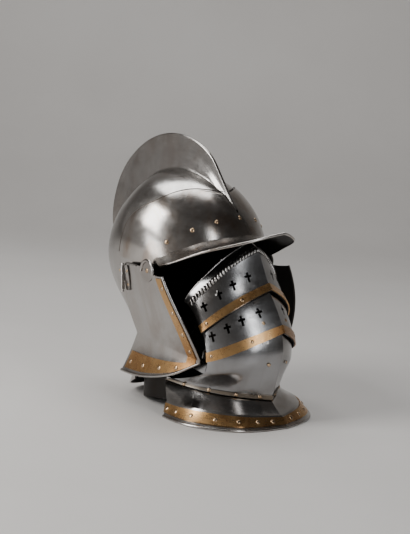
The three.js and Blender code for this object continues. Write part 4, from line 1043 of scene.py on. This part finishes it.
lug_t = np.radians(np.linspace(-12, 192, 60))
lug_ring_r = LUG_R - 1.4
lug_edge = bar(np.stack([
    np.full(60, lug_c[0] + 0.3), lug_c[1] + lug_ring_r * np.cos(lug_t), lug_c[2] + lug_ring_r * np.sin(lug_t),
], 1), 2.3)
strip_us = np.concatenate([np.linspace(0.3, C - 1, 40), np.linspace(C - 1, C - 0.24, 9)[1:]])
strip_vs = np.concatenate([
    np.linspace(0.3, 1.6, 12), np.linspace(1.6, 3, 14)[1:], np.linspace(3, 6.92, 50)[1:],
])
strip_grid = cheek_rows(strip_us, strip_vs)
strip_mask = np.zeros((len(strip_vs) - 1, len(strip_us) - 1), bool)
strip_mask[:11] = True
strip_mask[:, 39:] = True
cheek_heads = [(C - 0.55, v) for v in (3.4, 4.4, 5.45, 6.5)] + [(u, 0.9) for u in (0.7, 2.25, 3.8, 5.35)]

LEAF_ROWS = np.linspace(0.0, 1.0, 14)
LEAF_NEAR, LEAF_FAR = 3.2, 15.0


def leaf(where, sign, inside, lift):
    """A hinge leaf with a bowed outer edge, and its two rivets."""
    grid = []
    for t in LEAF_ROWS:
        far = LEAF_FAR - 3.0 * (2 * t - 1) ** 2
        points = [axis_point(t) + HINGE_BACK * sign * d for d in np.linspace(LEAF_NEAR, far, 8)]
        grid.append([where(a[1], a[2]) for a in points])
    grid = np.array(grid)
    normals = grid_normals(grid, inside)
    heads = []
    for i in (3, 10):
        p, n = grid[i][5], normals[i][5]
        heads.append(dome(p + n * (lift + 1.2), n, 2.0, 1.0))
    return plate(grid, inside, lift + 1.3, lift - 0.1, normals=normals), several(heads)


BACKWARD = 1 if HINGE_BACK[1] > 0 else -1
for sign, label in ((-1, "right"), (1, "left")):
    shell = plate(cheek_grid, CHEEK_IN, 0, -WALL)
    cheek = mesh_object(f"{label}_cheek_fine", to_side(shell, sign, CHEEK_OPEN))
    boolean(cheek, to_side(loft([lug_ring(-WALL + 0.4), lug_ring(0.4)]), sign, CHEEK_OPEN), "UNION")
    boolean(cheek, to_side(lug_edge, sign, CHEEK_OPEN), "UNION")
    boolean(cheek, to_side(barrel(-0.12, 1.12, BARREL_R + BARREL_GAP), sign, CHEEK_OPEN), "DIFFERENCE")
    for path in (front_edge, rim_path, corner_path):
        boolean(cheek, to_side(bar(path, RIM_R), sign, CHEEK_OPEN), "UNION")
    boolean(cheek, to_side(bar(top_edge, 1.5), sign, CHEEK_OPEN), "UNION")
    shade(cheek, 26)
    keep(cheek, STEEL, f"{label}_cheek")
    two_faced(cheek, (-sign * 400, 0, 100), -0.12)
    strip = to_side(plate(strip_grid, CHEEK_IN, GAP + BRASS, GAP - 0.1, mask=strip_mask), sign, CHEEK_OPEN)
    add(f"{label}_border_fine", strip, BRASS_MAT, f"{label}_cheek_border")
    heads = []
    for u, v in cheek_heads:
        p, n = cheek_spot(u, v)
        heads.append(dome(p + n * (GAP + BRASS - 0.05), n, RIVET_R, RIVET_H))
    riding(f"{label}_border_domes", to_side(several(heads), sign, CHEEK_OPEN), RIVET_MAT, f"{label}_cheek")
    lug_head = dome(lug_c + np.array([0.4, 0, 0]), (1, 0, 0), RIVET_R, RIVET_H)
    add(f"{label}_lug_dome", to_side(lug_head, sign, CHEEK_OPEN), RIVET_MAT, f"{label}_lug_rivet")
    leaf_plate, heads = leaf(cheek_level, -BACKWARD, CHEEK_IN, GAP + 0.25)
    moving = several([barrel(0.34, 0.66, BARREL_R, inner=PIN_R), leaf_plate])
    add(f"{label}_cheek_leaf_fine", to_side(moving, sign, CHEEK_OPEN), STEEL, f"{label}_cheek_leaf")
    riding(f"{label}_cheek_leaf_domes", to_side(heads, sign, CHEEK_OPEN), RIVET_MAT, f"{label}_cheek")
    leaf_plate, heads = leaf(skull_level, BACKWARD, (0, 60, 170), GAP + 0.15)
    knuckles = [barrel(low, high, BARREL_R, inner=PIN_R) for low, high in ((0.02, 0.32), (0.68, 0.98))]
    fixed = several(knuckles + [leaf_plate])
    add(f"{label}_skull_leaf_fine", to_side(fixed, sign, 0), STEEL, f"{label}_skull_leaf")
    riding(f"{label}_skull_leaf_domes", to_side(heads, sign, 0), RIVET_MAT, "skull")

# Solids shown as they are
for name, obj in frame["nodes"].items():
    if obj.hide_render:
        continue
    obj.data.materials.clear()
    # Inner arms and collar pieces get the near-black material: painted shade.
    inner = "inner_arm" in name or "collar" in name
    obj.data.materials.append(PAINTED_SHADE if inner else STEEL)

# Room, light and camera
def floor_material():
    mat, tree = material("floor")
    n = Nodes(tree)
    shader = n.add("ShaderNodeBsdfPrincipled")
    out = n.add("ShaderNodeOutputMaterial")
    n.link(shader.outputs[0], out.inputs[0])
    shader.inputs["Roughness"].default_value = 0.55
    colour = n.mix(n.ramp(n.noise(3.0, 3.0), 0.3, 0.7), (0.585, 0.57, 0.555), (0.62, 0.605, 0.59))
    n.link(colour, shader.inputs["Base Color"])
    return mat


SHOT = math.radians(-48.05)
floor_profile = [(-3.5, 0), (1.4, 0), (1.9, 0.06), (2.25, 0.3), (2.4, 0.8), (2.4, 4)]
rows = []
for y, z in smooth_line(floor_profile[:2], 2) + smooth_line(floor_profile[1:], 30):
    rows.append([(x * math.cos(SHOT) - y * math.sin(SHOT), x * math.sin(SHOT) + y * math.cos(SHOT), z)
                 for x in (-4, 4)])
data = bpy.data.meshes.new("floor")
points = [p for row in rows for p in row]
data.from_pydata(points, [], [[2 * i, 2 * i + 1, 2 * i + 3, 2 * i + 2] for i in range(len(rows) - 1)])
floor = bpy.data.objects.new("floor", data)
floor.location = (0, 0, -0.0002)
bpy.context.scene.collection.objects.link(floor)
floor.data.shade_smooth()
floor.data.materials.append(floor_material())

world = bpy.data.worlds.new("world")
bpy.context.scene.world = world
world.use_nodes = True
sky = world.node_tree
sky.nodes.clear()
w = Nodes(sky)
w_out = w.add("ShaderNodeOutputWorld")
w_back = w.add("ShaderNodeBackground")
w_split = w.add("ShaderNodeSeparateXYZ")
sky.links.new(w.add("ShaderNodeTexCoord").outputs["Generated"], w_split.inputs[0])
w_up = w.ramp(w_split.outputs[2], -0.1, 0.6)
w_side = w.maths("ADD", w.maths("MULTIPLY", w_split.outputs[0], math.cos(SHOT)),
                 w.maths("MULTIPLY", w_split.outputs[1], math.sin(SHOT)))
w_left = w.mix(w_up, (0.42, 0.40, 0.385), (0.13, 0.122, 0.115))
w_right = w.mix(w_up, (0.12, 0.115, 0.11), (0.05, 0.047, 0.045))
sky.links.new(w.mix(w.ramp(w_side, -0.25, 0.6), w_left, w_right), w_back.inputs[0])
sky.links.new(w_back.outputs[0], w_out.inputs[0])
w_back.inputs[1].default_value = 0.9

AZ, EL, ROLL = SHOT, math.radians(8.98), math.radians(4.96)
RIGHT = Vector((math.cos(AZ), math.sin(AZ), 0))
BACK = Vector((math.sin(AZ) * math.cos(EL), -math.cos(AZ) * math.cos(EL), math.sin(EL)))
UP = BACK.cross(RIGHT)
CAM_R = RIGHT * math.cos(ROLL) + UP * math.sin(ROLL)
CAM_U = -RIGHT * math.sin(ROLL) + UP * math.cos(ROLL)
centre = Vector((0, 0, 0.17))


def softbox(name, right, up, back, size, power, tint=(1, 1, 1)):
    """A soft lamp placed as seen by the camera, in metres from the object's middle."""
    lamp = bpy.data.lights.new(name, "AREA")
    lamp.shape = "RECTANGLE"
    lamp.size, lamp.size_y = size
    lamp.energy = power
    lamp.color = tint
    obj = bpy.data.objects.new(name, lamp)
    place = RIGHT * right + Vector((0, 0, 1)) * up + Vector((BACK.x, BACK.y, 0)).normalized() * back
    obj.location = centre + place
    obj.rotation_mode = "QUATERNION"
    obj.rotation_quaternion = place.to_track_quat("Z", "Y")
    bpy.context.scene.collection.objects.link(obj)
    return obj


softbox("key", -1.45, 1.2, 0.8, (0.8, 1.2), 36, (1.0, 0.985, 0.96))
softbox("front", 1.05, 0.75, 1.5, (0.22, 1.3), 9, (0.97, 0.985, 1.0))
softbox("top", -0.1, 1.9, -0.5, (1.5, 0.9), 24)
softbox("low", -1.3, 0.1, 0.9, (0.5, 0.5), 5)

focal = 1493.9
cam_data = bpy.data.cameras.new("camera")
cam_data.sensor_fit = "AUTO"
cam_data.sensor_width = 36
cam_data.lens = focal * 36 / 534
cam = bpy.data.objects.new("camera", cam_data)
bpy.context.scene.collection.objects.link(cam)
cam.location = (CAM_R * 17.638 + CAM_U * 187.302 + BACK * 2115.734 - Vector((0, CENTRE_Y, 0))) * MM
cam.rotation_mode = "QUATERNION"
cam.rotation_quaternion = Matrix((CAM_R, CAM_U, BACK)).transposed().to_quaternion()
cam_data.clip_start, cam_data.clip_end = 0.05, 50
bpy.context.scene.camera = cam
